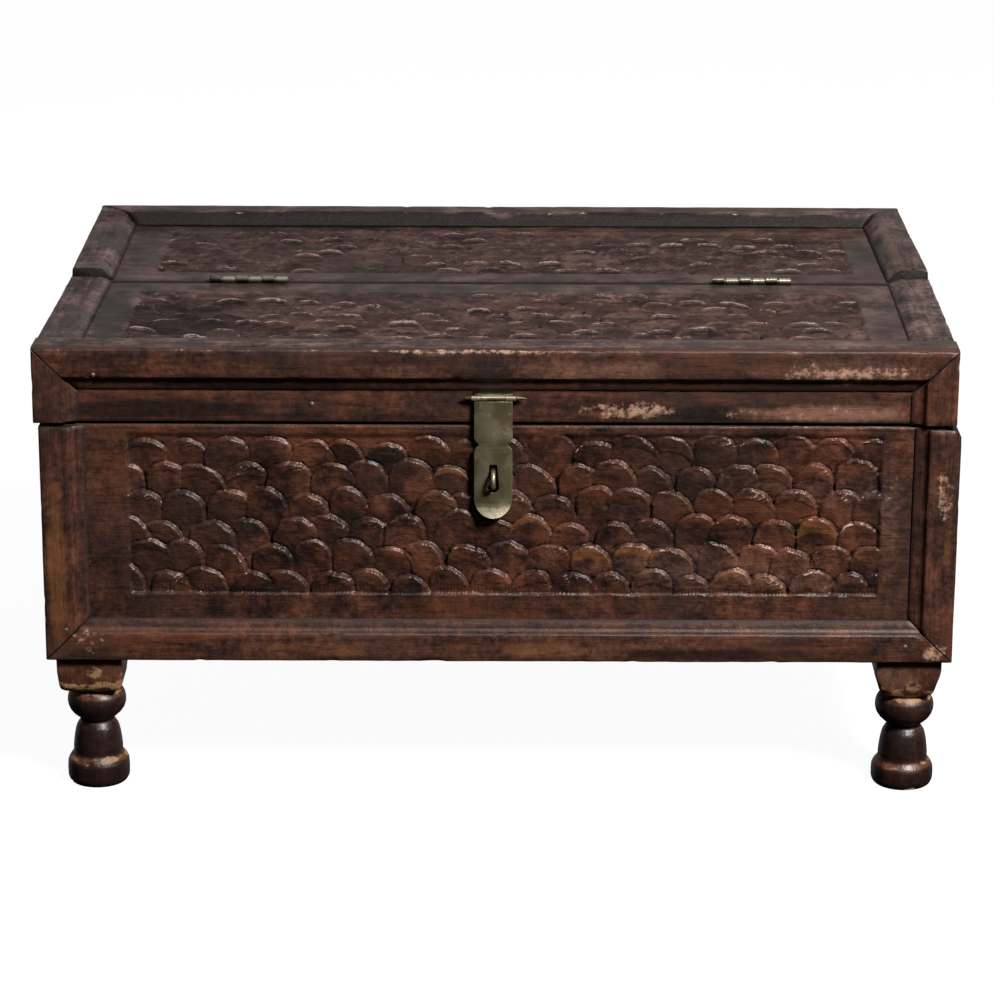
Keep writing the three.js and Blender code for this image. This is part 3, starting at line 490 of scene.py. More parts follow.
def piece(name, points, faces, finish, body, nodes=(), paint=None, sharp=50.0, backs=None):
    """Makes a mesh object of points in millimetres, puts it on the body that it rides on and hides the
    CAD nodes that it stands for. Of two finishes, backs says for each face which one it has. Edges
    sharper than sharp degrees stay hard."""
    mesh = bpy.data.meshes.new(name)
    mesh.from_pydata((points * MM).tolist(), [], faces)
    for key, values in (paint or {}).items():
        layer = mesh.attributes.new(key, "FLOAT", "POINT")
        values = np.clip(values, 0, 1) + np.zeros(len(points))
        layer.data.foreach_set("value", values.astype(np.float32))
    mesh.polygons.foreach_set("use_smooth", [True] * len(mesh.polygons))
    mesh.set_sharp_from_angle(angle=math.radians(sharp))
    for each in (finish if isinstance(finish, tuple) else (finish,)):
        mesh.materials.append(finishes[each])
    if backs is not None:
        mesh.polygons.foreach_set("material_index", backs)
    mesh.validate()
    made = bpy.data.objects.new(name, mesh)
    bpy.context.scene.collection.objects.link(made)
    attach(made, body)
    if nodes:
        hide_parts(*nodes)


# %% [markdown]
# ## Marks of age
#
# Four kinds of marks sit at certain places on the real chest: smears of black stain, amber streaks
# where light polish shows, tan spots where the surface has chipped away, and places where the stain
# has only faded. Each is a soft blob with a centre, a reach along each axis and a strength, in
# millimetres in the frame of the chest. The two long smears on the slope of the rear rail are partly
# painted shade, because that slope mirrors the dark room. Wear on the edges is added later, piece by
# piece, and so are painted highlight and painted shade.

# %% Blobs of black stain and painted shade, amber, bare and faded wood
STAIN_AND_SHADE_BLOBS = [
    ((-130, -180, 259), (110, 20, 6), 0.6), ((-115, -176, 240), (80, 8, 4), 0.4),
    ((45, -176, 246), (30, 8, 8), 0.25), ((-85, -176, 214), (30, 8, 12), 0.4),
    ((-145, -176, 140), (45, 8, 13), 0.35), ((125, -180, 92), (88, 20, 6), 0.62),
    ((-215, -176, 150), (14, 8, 50), 0.25), ((238, -176, 145), (10, 8, 30), 0.35),
    ((-200, -176, 243), (75, 8, 9), 0.62), ((-185, -85, 278), (50, 60, 9), 0.45),
    ((110, -176, 222), (40, 8, 7), 0.25),
    ((126, -176, 242), (27, 8, 9), 0.62), ((-238, -85, 278), (14, 80, 4), 0.9),
    ((-10, -182, 119), (200, 8, 3), 0.2), ((235, -182, 262), (20, 9, 9), 0.25),
    # Partly painted shade: the slope of the rear rail, dark where it mirrors the dark room.
    ((-130, 163, 281), (190, 9, 9), 1.2), ((130, 163, 281), (170, 9, 9), 0.8),
    ((-237, -60, 282), (18, 90, 5), 0.6), ((-236, 90, 277), (16, 70, 4), 0.5),
    ((-150, -85, 282), (60, 70, 4), 0.25), ((241, -60, 282), (18, 90, 5), 0.3),
]
AMBERS = [
    ((-266, -182, 150), (8, 9, 62), 0.8), ((-112, -182, 94), (44, 9, 6), 0.55),
    ((22, -182, 94), (38, 9, 6), 0.72), ((-181, -176, 219), (10, 8, 6), 0.55),
    ((-166, -176, 205), (10, 8, 6), 0.4), ((-22, -176, 200), (9, 8, 8), 0.95),
    ((18, -176, 171), (13, 8, 8), 0.8), ((54, -176, 150), (14, 8, 8), 0.8),
    ((80, -176, 152), (14, 8, 8), 0.95), ((97, -176, 152), (14, 8, 9), 1.0),
    ((115, -176, 155), (14, 8, 9), 1.0), ((142, -176, 137), (14, 8, 9), 0.95),
    ((157, -176, 137), (14, 8, 9), 0.9), ((176, -176, 134), (14, 8, 9), 0.85),
    ((188, -176, 171), (14, 8, 9), 0.75), ((-40, -176, 205), (20, 8, 10), 0.35),
    ((268, -182, 180), (6, 9, 35), 0.5), ((-225, -176, 225), (10, 8, 8), 0.3),
]
BARES = [
    ((82, -176, 243), (42, 8, 9), 0.57), ((185, -176, 242), (75, 8, 9), 0.54),
    ((205, -182, 268), (56, 10, 9), 0.50), ((-20, -182, 281), (120, 4, 1.6), 0.66),
    ((-184, -182, 280), (9, 5, 3), 0.6), ((271, -182, 277), (6, 9, 9), 0.55),
    ((266, -182, 198), (7, 9, 30), 0.70), ((-250, -182, 98), (18, 9, 12), 0.62),
    ((262, -182, 92), (13, 9, 10), 0.72), ((234, -176, 200), (10, 8, 34), 0.34),
    ((205, -176, 130), (32, 8, 5), 0.36), ((-246, -176, 76), (8, 30, 6), 0.62),
    ((-228, -176, 74), (7, 30, 8), 0.6), ((253, -176, 68), (7, 30, 7), 0.66),
    ((262, -176, 79), (6, 30, 5), 0.5), ((-240, -165, 17.5), (26, 30, 2.6), 0.55),
    ((238, -165, 38.5), (30, 30, 1.6), 0.55), ((150, -182, 107), (120, 9, 3), 0.3),
]
FADES = [
    ((195, -176, 242), (52, 8, 7), 0.75), ((165, -176, 242), (36, 8, 7), 0.45),
    ((205, -182, 268), (60, 12, 12), 0.38), ((60, -182, 268), (60, 12, 10), 0.45),
    ((-60, -182, 266), (40, 12, 8), 0.3), ((265, -182, 160), (13, 12, 70), 0.28),
    ((-266, -182, 170), (13, 12, 60), 0.15), ((0, -182, 96), (240, 12, 9), 0.32),
    ((-60, -182, 94), (90, 12, 7), 0.3), ((235, -176, 170), (9, 8, 45), 0.3),
    ((30, -176, 160), (60, 8, 30), 0.2), ((130, -176, 140), (110, 8, 24), 0.32),
    ((180, -176, 200), (60, 8, 26), 0.25), ((233, -165, 74), (30, 30, 12), 0.55),
]


def daubed(points, blobs, seed):
    """The strongest blob at each point, with a ragged border."""
    ragged = 0.7 * noise(points, (18, 6, 6), seed) - 0.35
    amount = np.zeros(len(points))
    for centre, reach, strength in blobs:
        away = np.sqrt((((points - centre) / reach) ** 2).sum(axis=1))
        amount = np.maximum(amount, strength * (1 - smooth(away + ragged, 0.4, 1.25)))
    return amount


def paint_of(points, bare=0.0, grime=0.0, amber=0.0, char=0.0, cover=0.0):
    """All painted values for some points: the blobs, and what the shape adds. A carved field, where
    cover is 1, brings its own amber and its own black stain and painted shade."""
    return {
        "char": daubed(points, STAIN_AND_SHADE_BLOBS, 3) * (1 - cover) + char,
        "amber": daubed(points, AMBERS, 5) * (1 - cover) + amber,
        "bare": np.maximum(daubed(points, BARES, 7), bare),
        "faded": daubed(points, FADES, 9),
        "grime": grime,
    }


# %% [markdown]
# ## The lid has gone out of square
#
# Seen from the front, the lid leans a few millimetres to the left of the box below. The boards of
# the lid are sheared by that much towards their front edge, and the brass stays where it is.

# %% Shear of the lid
LID_LEAN = 3.0
lid_low, lid_high = extent("lid_top_board")


def leaning(points):
    """Points of the lid, moved to the left the more the nearer they are to its front."""
    moved = points.copy()
    moved[:, 0] -= LID_LEAN * np.clip((lid_high[1] - points[:, 1]) / (lid_high[1] - lid_low[1]), 0, 1)
    return moved


# %% [markdown]
# ## Worn bars
#
# Each panel is framed by mouldings: bars with a flat top whose inner edge slopes down to a thin toe,
# mitred where two of them meet. A cube with a bevel would look machined. Instead the outline of the
# bar is rounded at its corners, carried along in many rings, and pressed inwards by noise, most of
# all at the edges, where chips have come off.


# %% The outline of a bar with its corners worn round
def rounded_outline(corners, radii, spacing):
    """Points round a closed outline that turns left, and how near each is to an outer corner."""
    corners = [np.array(c, float) for c in corners]
    points, near = [], []
    for i, corner in enumerate(corners):
        before = corners[i - 1] - corner
        after = corners[(i + 1) % len(corners)] - corner
        sticks_out = before[0] * after[1] - before[1] * after[0] < 0
        radius = radii[i]
        start = corner + before / np.linalg.norm(before) * radius
        end = corner + after / np.linalg.norm(after) * radius
        steps = 5 if radius > 0.4 else 2
        for t in np.linspace(0, 1, steps):
            points.append((1 - t) ** 2 * start + 2 * t * (1 - t) * corner + t * t * end)
            near.append(0.35 + 0.65 * (1 - abs(2 * t - 1)) if sticks_out else 0.0)
        following = corners[(i + 1) % len(corners)]
        stop = following - after / np.linalg.norm(after) * radii[(i + 1) % len(corners)]
        count = max(1, int(round(np.linalg.norm(stop - end) / spacing)))
        for t in np.arange(1, count) / count:
            points.append(end + (stop - end) * t)
            near.append(0.0)
    return np.array(points), np.array(near)


# %% How wood wears
def worn(points, near, seed, wobble=0.3, chip=1.2):
    """How many millimetres each point is worn away, and how bare the wood is there."""
    waves = wobble * (0.7 * noise(points, 60, seed) + 0.5 * noise(points, 9, seed + 1))
    rub = near * 0.5 * noise(points, 14, seed + 2)
    chips = smooth(noise(points, 7, seed + 3), 0.70, 0.80) * near
    return waves + rub + chips * chip, chips * 0.7 + near * 0.45 * noise(points, 30, seed + 4)


# %% A bar swept between its two ends
FLAT_SHARE = 18 / 26
TOP_FLAT_SHARE = 20 / 27
TOE = 1.0
COVE = [(2.6, 2.0), (0.9, 3.2)]
MITRE_GAP = 0.25
RING_STEP = 4.0


def bar(node, body, along, across, out, mitres, finish, seed, flat=FLAT_SHARE, spread=0.0,
        radii=(1.6, 0.9), cove=True, shape=None, chip=1.2, wobble=0.3, slope_grime_and_shade=0.0):
    """Stands for a moulding's node. across points to its inner edge and out away from the board. A
    cove drops steeply from the flat and then runs out to the toe. spread makes the bar wider, and
    the last setting darkens its slope with grime and painted shade."""
    low, high = extent(node)
    a, c, o = (direction_of(word) for word in (along, across, out))
    size = high - low
    width, rise, length = (abs(size @ v) for v in (c, o, a))
    origin = np.where(a + c + o > 0, low, high)
    edge_of_flat = width * flat + spread * 0.75
    width += spread
    corners = [(0, 0), (width, 0), (width, TOE), (edge_of_flat, rise), (0, rise)]
    rounding = [0.2, 0.2, 0.4, radii[1], radii[0]]
    if cove:
        corners[3:3] = [(edge_of_flat + beyond, tall) for beyond, tall in COVE]
        rounding[3:3] = [0.9, 0.6]
    outline, near = rounded_outline(corners, rounding, 3.2)
    ends = [0.0, 0.5 / length, *np.linspace(0, 1, max(3, int(length / RING_STEP)))[1:-1],
            1 - 0.5 / length, 1.0]
    tangent = np.roll(outline, -1, axis=0) - np.roll(outline, 1, axis=0)
    outward = np.stack([tangent[:, 1], -tangent[:, 0]], axis=1)
    outward /= np.linalg.norm(outward, axis=1, keepdims=True)

    u, v = outline[:, 0], outline[:, 1]
    free = np.clip(v / (0.3 * rise), 0, 1)
    cut_back, cut_ahead = (u + MITRE_GAP / math.sqrt(2) if mitred else 0 * u for mitred in mitres)
    # Dark paint where the toe meets the panel, as grime and painted shade, a band at the foot of the
    # cove's steep step as painted shade, and on a slope that is set to it, grime and painted shade.
    toe_grime_and_shade = smooth(u, width - 2.2, width - 0.2)
    if cove:
        toe_grime_and_shade = np.maximum(toe_grime_and_shade, 0.35 * np.exp(-(((u - edge_of_flat - 1.5) / 1.1) ** 2)))
    toe_grime_and_shade = np.maximum(toe_grime_and_shade, slope_grime_and_shade * smooth(u, edge_of_flat + 0.4, edge_of_flat + 1.4)) * (v > 0)

    rings, marks = [], []
    for t in ends:
        at_end = t in (0.0, 1.0)
        s = cut_back + (length - cut_ahead - cut_back) * t
        spot = origin + np.outer(s, a) + np.outer(u, c) + np.outer(v, o)
        away, bare = worn(spot, np.maximum(near * (free > 0), 0.5 * at_end), seed, wobble, chip)
        shift = outward * ((away + 0.35 * at_end) * free)[:, None]
        rings.append(spot - np.outer(shift[:, 0], c) - np.outer(shift[:, 1], o))
        marks.append(np.stack([bare * free, np.maximum(toe_grime_and_shade * 0.7, 0.9 * at_end)], axis=1))
    points, marks = np.concatenate(rings), np.concatenate(marks)
    if shape is not None:
        points = shape(points)
    faces = capped(np.arange(len(points)).reshape(len(ends), -1))
    if np.cross(c, o) @ a < 0:
        faces = [face[::-1] for face in faces]
    paint = paint_of(points, bare=marks[:, 0], grime=marks[:, 1])
    if body == "lid":
        points = leaning(points)
    piece(node, points, faces, finish, body, (node,), paint)


# %% Mouldings of the front and the sides
def framing(hand):
    """The mouldings on one side of the chest, as rows for the function bar."""
    inward, outward = ("+x", "-x") if hand == "left" else ("-x", "+x")
    return [
        (f"front_{hand}_stile", "carcass", "+z", inward, "-y", (1, 0), "front z"),
        (f"{hand}_side_bottom_rail", "carcass", "+y", "+z", outward, (1, 1), "side y"),
        (f"{hand}_side_front_stile", "carcass", "+z", "+y", outward, (1, 0), "front z"),
        (f"{hand}_side_rear_stile", "carcass", "+z", "-y", outward, (1, 1), "front z"),
        (f"{hand}_side_top_rail", "carcass", "+y", "-z", outward, (0, 1), "side y"),
        (f"lid_front_{hand}_stile", "lid", "+z", inward, "-y", (0, 1), "front z"),
        (f"lid_{hand}_side_rail", "lid", "+y", "-z", outward, (1, 0), "side y"),
        (f"lid_{hand}_side_front_stile", "lid", "+z", "+y", outward, (0, 1), "front z"),
    ]


KNOCK_CENTRE = np.array([268.6, 227.4])
KNOCK_RADIUS = 6.2


def knocked_round(points):
    """The upper right corner of the box below the lid has been knocked round."""
    moved = points.copy()
    away = points[:, (0, 2)] - KNOCK_CENTRE
    beyond = np.hypot(*np.clip(away, 0, None).T)
    share = np.minimum(1, KNOCK_RADIUS / np.maximum(beyond, 1e-6))
    inside = (away > 0).all(axis=1)
    moved[:, 0] = np.where(inside, KNOCK_CENTRE[0] + away[:, 0] * share, points[:, 0])
    moved[:, 2] = np.where(inside, KNOCK_CENTRE[1] + away[:, 1] * share, points[:, 2])
    return moved


rows = [("front_bottom_rail", "carcass", "+x", "+z", "-y", (1, 1), "front x")]
rows += framing("left") + framing("right")
for number, (node, body, along, across, out, mitres, finish) in enumerate(rows):
    bar(node, body, along, across, out, mitres, finish, 20 + 7 * number,
        spread=1.5 if "stile" in node else 0.0,
        shape=knocked_round if node in ("front_right_stile", "right_side_front_stile") else None)
print(len(rows), "mouldings on the walls")

# %% [markdown]
# The rail across the front of the lid is a moulding like the others. The strip on top of it is a thin
# flat board, and the mouldings of the top are hog-backed: they slope down to the panel without a
# cove, and the hands that opened the lid have rubbed them round.

# %% Front rail of the lid and the mouldings on the top
bar("lid_front_rail", "lid", "+x", "-z", "-y", (1, 1), "front x", 201)
bar("lid_front_top_strip", "lid", "+x", "+y", "+z", (0, 0), "top x", 211, flat=0.97,
    radii=(0.8, 0.9), cove=False)
# The slope of the rear rail is painted dark, as grime and painted shade.
bar("fixed_top_rear_rail", "carcass", "+x", "-y", "+z", (1, 1), "top x", 221,
    flat=TOP_FLAT_SHARE, radii=(1.8, 1.8), cove=False, wobble=0.5, slope_grime_and_shade=0.8)
for hand, inward in (("left", "+x"), ("right", "-x")):
    bar(f"lid_{hand}_top_moulding", "lid", "+y", inward, "+z", (0, 0), "top y",
        231 + len(hand), flat=TOP_FLAT_SHARE, radii=(1.6, 2.2), cove=False, wobble=1.0)
    bar(f"fixed_top_{hand}_moulding", "carcass", "+y", inward, "+z", (0, 1), "top y",
        251 + len(hand), flat=TOP_FLAT_SHARE, radii=(2.4, 3.0), cove=False, wobble=1.0)

# %% [markdown]
# ## Fish-scale carving
#
# The carved fields are rows of overlapping scales. A carver cuts each scale with a curved gouge: a
# steep cut round its upper rim, then a shallow slope that dives under the rims of the next row. The
# field can be modelled as a height map: rows are laid from the top down, and each scale covers what
# is there already. No two are alike: each has fourteen random numbers of its own, which shift it,
# widen it, tilt it, cut it twice or leave ridges in it. The rims are painted lighter, partly as
# rubbed wood and partly as painted highlight on the side that the light falls on, and the cuts are
# painted dark, partly as grime and partly as painted shade. Both are painted in the same pass.

# %% Lines of a grid that is fine in the carved field and coarse outside it
FIELD_EDGE = 3.0


def grid_lines(low, high, start, end, fine, coarse):
    """Positions from low to high with fine steps from start to end."""
    before = np.linspace(low, start, max(2, int(round((start - low) / coarse)) + 1))[:-1]
    inside = np.linspace(start, end, max(2, int(round((end - start) / fine)) + 1))
    after = np.linspace(end, high, max(2, int(round((high - end) / coarse)) + 1))[1:]
    return np.concatenate([before, inside, after])


# %% The height map of the scales
SCALE_PITCH = 24.3
SCALE_ROW = 17.0
SCALE_DEPTH = 1.9
GROUND = -1.5


def soft_field(across, up, field, seed):
    """1 inside a carved field. Its foot ends in a sharp ledge, and its other sides fade out."""
    left, right_end, foot, head = field
    ragged = 1.6 * noise(np.stack([across, up, 0 * up], axis=-1), 8, seed) - 0.8
    return (smooth(up - foot + 0.6 * ragged, 0, 1.3) * smooth(head - up + ragged, 0, 4.5)
            * smooth(across - left + ragged, 0, 2.6) * smooth(right_end - across + ragged, 0, 2.6))


def scales(across, up, field, seed, spot, row=SCALE_ROW, pitch=SCALE_PITCH, depth=SCALE_DEPTH,
           crown=(1.2, 0.55), crest=0.0, arched=1.0):
    """Height in millimetres, 0 at the face and negative below it, and what to paint. spot gives the
    place in the chest of a point of the field, crown is how wide and how high the rims are rounded,
    crest is the height of the band that is left standing along a rim, and arched how tall a rim is
    for its width."""
    left, right_end, foot, head = field
    flat = np.stack([across, up, 0 * up], axis=-1)
    cover = soft_field(across, up, field, seed)
    lumps = noise(flat, 9, seed + 1, 4) - 0.5
    hacked = noise(flat, (3.4, 2.4, 5), seed + 4, 2) - 0.5
    torn = noise(flat, (5, 2.2, 5), seed + 2, 2)
    paler_to_the_right = 0.3 + 0.8 * smooth(across, left, left + 0.6 * (right_end - left))
    height = np.full(across.shape, GROUND)
    rim_wear_and_highlight, cut_grime_and_shade, honey, stain_and_shade = (np.zeros(across.shape) for _ in range(4))
    shakes = np.random.default_rng(seed)
    count = int((right_end - left) / pitch) + 3
    for r in range(int(round((head - foot) / row)) - 1, -1, -1):
        for i in shakes.permutation(count):
            (aside, wider, taller, higher, leant, lifted, rolled, doubled, split, ridgy, proud, sunk,
             slanted, shifted) = shakes.normal(size=14)
            middle = left + (i - 1 + 0.5 * (r % 2)) * pitch + 1.9 * aside
            half = pitch * (0.555 + 0.03 * wider)
            rise = half * arched * (1 + 0.09 * taller)
            peak = foot + (r + 1) * row - 2.0 + 1.9 * higher
            lean = 0.12 * leant - 0.06
            cols = np.abs(across[0] - middle) < half + 3
            lines = (up[:, 0] < peak + 4) & (up[:, 0] > peak - 2.4 * row)
            if not cols.any() or not lines.any():
                continue
            part = np.ix_(lines, cols)
            x, y, lump, hack, tear = (each[part] for each in (across, up, lumps, hacked, torn))

            # The outline. a runs from -1 to 1 across the scale, and b is 1 at the top of its rim.
            a = (x - middle) / half
            tall = y - peak - lean * (x - middle)
            b = np.maximum(0, tall + rise) / rise
            square = 1.9 + 0.3 * shakes.random()
            roundness = (np.abs(a) ** square + b**square) ** (1 / square)
            reach = (1 - roundness) * rise + 2.8 * lump + hack
            on = smooth(reach, -0.1, 0.9 + 0.7 * smooth(a, -0.6, 0.5))

            # The slope that dives under the next row, with its rim rounded off.
            down = np.clip(-tall / row, 0, 2.2)
            surface = (-0.15 - depth * down**1.1 + 0.45 * (1 - a * a) + 0.3 * lifted + 0.5 * rolled * a
                       - 1.6 * lump - crown[1] * (1 - smooth(reach, 0, crown[0] * (0.6 + 0.8 * tear))))

            # The band that is left standing along a rim of the tops.
            arch = rise * (1 - (1 - np.minimum(np.abs(a), 1) ** square) ** (1 / square))
            under = -tall - arch + 2.0 * lump + 0.6 * sunk
            standing = crest * max(0.0, 0.8 + 0.6 * proud) * (1 - smooth(np.abs(a), 0.4, 0.85))
            band = smooth(under, -0.4, 1.0) * (1 - smooth(under, 2.6, 4.4))
            surface = surface + standing * (band - 0.5)

            # Some scales were cut twice, which leaves a step lower down.
            level = 0.42 + 0.10 * split + 0.35 * a * a + 0.25 * lump
            twice = 0.4 + 0.3 * min(abs(doubled), 2) if doubled > 0.25 else 0.0
            lower = smooth(down - level, -0.03, 0.06) * twice
            surface = surface - 0.55 * lower
            crease = np.exp(-(((down - level) / 0.035) ** 2)) * twice * (tear > 0.3)

            # Ridges between the strokes of the gouge, and short stabs along the lowest row.
            wave = np.sin(2.2 * (tall * 0.86 - (x - middle) * (0.5 + 0.2 * slanted)) + 6 * tear)
            ridged = (smooth(a + 0.3 * shifted, -0.1, 0.4) * smooth(reach, 0.3, 1.2)
                      * (1 - smooth(down, 0.3, 0.5)) * (ridgy > -0.1) * smooth(tear, 0.3, 0.6))
            surface = surface + 0.34 * wave * ridged
            if r == 0:
                fringe = np.sin(x * 1.4 + i + 4 * lump) ** 2 * smooth(tear, 0.45, 0.7)
                surface = surface - 0.5 * fringe * smooth(down, 0.25, 0.6)

            # The groove round the rim is painted dark, as grime and painted shade, least where the light
            # falls. The rim is painted pale on its upper right, where the light falls: partly rubbed wood,
            # partly painted highlight. Across the field that pale paint grows from left to right.
            groove = np.exp(-(((reach + 0.5) / 0.65) ** 2)) * (0.45 + 0.55 * smooth(b, 0, 0.5))
            groove = groove * (0.3 + 0.9 * smooth(tear, 0.3, 0.7))
            surface = surface + 0.5 * (tear - 0.5) * smooth(b, 0.2, 0.8)
            begins = -0.35 + 0.4 * proud
            lit = smooth(b, 0.1, 0.6) * smooth(a, begins - 0.3, begins + 0.3) * paler_to_the_right[part]
            edge = np.exp(-(((reach - 0.6) / 0.6) ** 2)) * lit * smooth(tear, 0.36, 0.6)
            surface = surface + 0.5 * edge * (crest == 0)
            # On the tops, the band left standing along a rim is painted pale: partly rubbed wood, partly
            # painted sheen of the backdrop. The crests of the gouge's ridges get a painted highlight, and
            # the crease of a double cut and the foot of a standing band a painted shadow.
            edge = np.maximum(edge, 1.1 * standing * np.exp(-(((under - 1.5) / 1.4) ** 2)))
            edge = np.maximum(edge, 0.8 * ridged * smooth(wave, 0.4, 0.9))
            shadow = np.maximum(crease * 0.8, 0.9 * standing * np.exp(-(((under - 4.9) / 1.2) ** 2)))

            # The polish and the stain of the whole scale, and painted shade on its left side, away from
            # the light.
            centre = spot(middle, peak - 0.55 * row)
            gilt = daubed(centre, AMBERS, 5)[0] + 0.10 * abs(ridgy)
            gilt = gilt * (1 - 0.8 * smooth(down, level - 0.1, level + 0.15)) * (1 + 1.2 * lump)
            stain_and_left_shade = daubed(centre, STAIN_AND_SHADE_BLOBS, 3)[0] + 0.2 * shakes.random() * (1 - lower)
            stain_and_left_shade = stain_and_left_shade + 0.12 * (1 - smooth(a, -1.0, -0.2))

            # The scale covers what is there already.
            groove_left = np.maximum(cut_grime_and_shade[part], groove * (1 - 0.6 * lit))
            for layer, below, above in (
                    (height, height[part] - 0.7 * groove, surface), (cut_grime_and_shade, groove_left, shadow),
                    (rim_wear_and_highlight, rim_wear_and_highlight[part], edge), (honey, honey[part], gilt), (stain_and_shade, stain_and_shade[part], stain_and_left_shade)):
                layer[part] = below * (1 - on) + above * on
    # On the tops, strokes of the chisel run along the rows: their raised parts are painted pale as painted
    # highlight, and their hollows dark as painted shade.
    if crest:
        strokes = noise(flat, (20, 5.5, 5), seed + 3, 3)
        height = height + (strokes - 0.5)
        rim_wear_and_highlight = np.maximum(rim_wear_and_highlight, 0.3 * smooth(strokes, 0.55, 0.66))
        cut_grime_and_shade = np.maximum(cut_grime_and_shade, 0.7 * smooth(0.45 - strokes, 0.0, 0.1))
    return height * cover, [m * cover for m in (rim_wear_and_highlight, cut_grime_and_shade, honey, stain_and_shade)], cover


# %% A board with a carved or a planed face
def faced_board(node, body, out, up, field, finish, slot, seed, fine, relief=None, pale_share=0.25,
                **settings):
    """Stands for a board's node. field is (left, right, foot, head) on its face, or None, and the
    setting after relief says how pale its worn edges are painted."""
    low, high = extent(node)
    k, j = AXIS[out[1]], AXIS[up[1]]
    i = 3 - k - j
    face, behind = (high[k], low[k]) if out[0] == "+" else (low[k], high[k])
    if field is None:
        across = grid_lines(low[i], high[i], low[i] + 3, high[i] - 3, fine, 3.0)
        rising = grid_lines(low[j], high[j], low[j] + 3, high[j] - 3, fine, 3.0)
    else:
        across = grid_lines(low[i], high[i], field[0] - FIELD_EDGE, field[1] + FIELD_EDGE, fine, 5.0)
        rising = grid_lines(low[j], high[j], max(low[j] + 0.5, field[2] - FIELD_EDGE),
                            min(high[j] - 0.5, field[3] + FIELD_EDGE), fine, 5.0)
    u, v = np.meshgrid(across, rising)
    points = np.zeros((*u.shape, 3))
    points[..., i], points[..., j], points[..., k] = u, v, face
    planed = 0.35 * noise(points, 45, seed) + 0.15 * noise(points, 8, seed + 1)
    edge = np.minimum.reduce([u - low[i], high[i] - u, v - low[j], high[j] - v])
    height = -planed - 0.5 * (1 - smooth(edge, 0.0, 0.8))
    arris = pale_share * (1 - smooth(edge, 0.3, 1.5)) * noise(points, (12, 12, 3), seed + 6)
    seam = 0.8 * (1 - smooth(edge, 0.2, 1.0)) * (pale_share < 0.5)
    marks = [arris, seam, *[0 * u] * 3]
    if field is not None:
        def spot(a, b):
            place = np.full((1, 3), face)
            place[0, i], place[0, j] = a, b
            return place

        carved, (rim_wear_and_highlight, cut_grime_and_shade, honey, stain_and_shade), cover = scales(u, v, field, seed, spot, **settings)
        height = height + carved
        # Pale paint on worn edges and on the rims, partly painted highlight. Dark paint in the cuts and
        # the deepest hollows of the carving, as grime and painted shade, and along the seams.
        bare = np.maximum(arris, rim_wear_and_highlight * (0.6 + 0.6 * noise(points, 30, seed + 5)))
        grime = np.clip(cut_grime_and_shade * 0.7 + smooth(-carved, 2.6, 4.4) * 0.4 + seam, 0, 1)
        marks = [bare, grime, honey, stain_and_shade, cover]
    if relief is not None:
        height = np.minimum(height, relief(points))
    points[..., k] += height * (1 if out[0] == "+" else -1)

    rows_count, columns = u.shape
    index = np.arange(rows_count * columns).reshape(rows_count, columns)
    quads = np.stack([index[:-1, :-1], index[:-1, 1:], index[1:, 1:], index[1:, :-1]], axis=-1)
    ring = np.concatenate([index[0, :-1], index[:-1, -1], index[-1, :0:-1], index[:0:-1, 0]])
    front_points = points.reshape(-1, 3)
    back_points = front_points[ring].copy()
    back_points[:, k] = behind
    back = len(front_points) + np.arange(len(ring))
    faces = quads.reshape(-1, 4).tolist()
    on_front = len(faces)
    faces += bridged([back, ring]) + [back[::-1].tolist()]
    axes = [np.eye(3)[i], np.eye(3)[j], direction_of(out)]
    if np.cross(axes[0], axes[1]) @ axes[2] < 0:
        faces = [face[::-1] for face in faces]
    everything = np.concatenate([front_points, back_points])
    pad = np.zeros(len(ring))
    paint = paint_of(everything, *(np.concatenate([m.ravel(), pad]) for m in marks))
    if body == "lid":
        everything = leaning(everything)
    raw = np.repeat([0, 1], [on_front, len(faces) - on_front])
    piece(node, everything, faces, finish, body, (node,), paint, backs=raw)


# %% Carved and plain boards
HINGE_ROOM = 2.6
NO_LIMIT = 9.0


def hinge_room(points):
    """Keeps the edge of a top board clear of the hinge barrels."""
    axis = pivot("lid_hinge")
    height = np.full(points.shape[:-1], NO_LIMIT)
    for hand in ("left", "right"):
        low, high = extent(f"hinge_{hand}_fixed_leaf")
        beside = (points[..., 0] > low[0] - 0.5) & (points[..., 0] < high[0] + 0.5)
        away = np.abs(points[..., 1] - axis[1])
        surface = axis[2] - np.sqrt(np.clip(HINGE_ROOM**2 - away**2, 0, None)) - points[..., 2]
        height = np.where(beside & (away < HINGE_ROOM), np.minimum(height, surface), height)
    return height


TOP_CARVING = {"depth": 2.3, "crown": (1.4, 0.5), "crest": 1.0, "arched": 0.8}
FRONT_FIELD = (-224, 229.5, 127, 229.5)
SIDE_FIELD = (-130, 137.3, 127, 229.5)
LID_FIELD = (-227.5, 226, -146, -24)
FIXED_TOP_FIELD = (-224, 230, 27, 146)

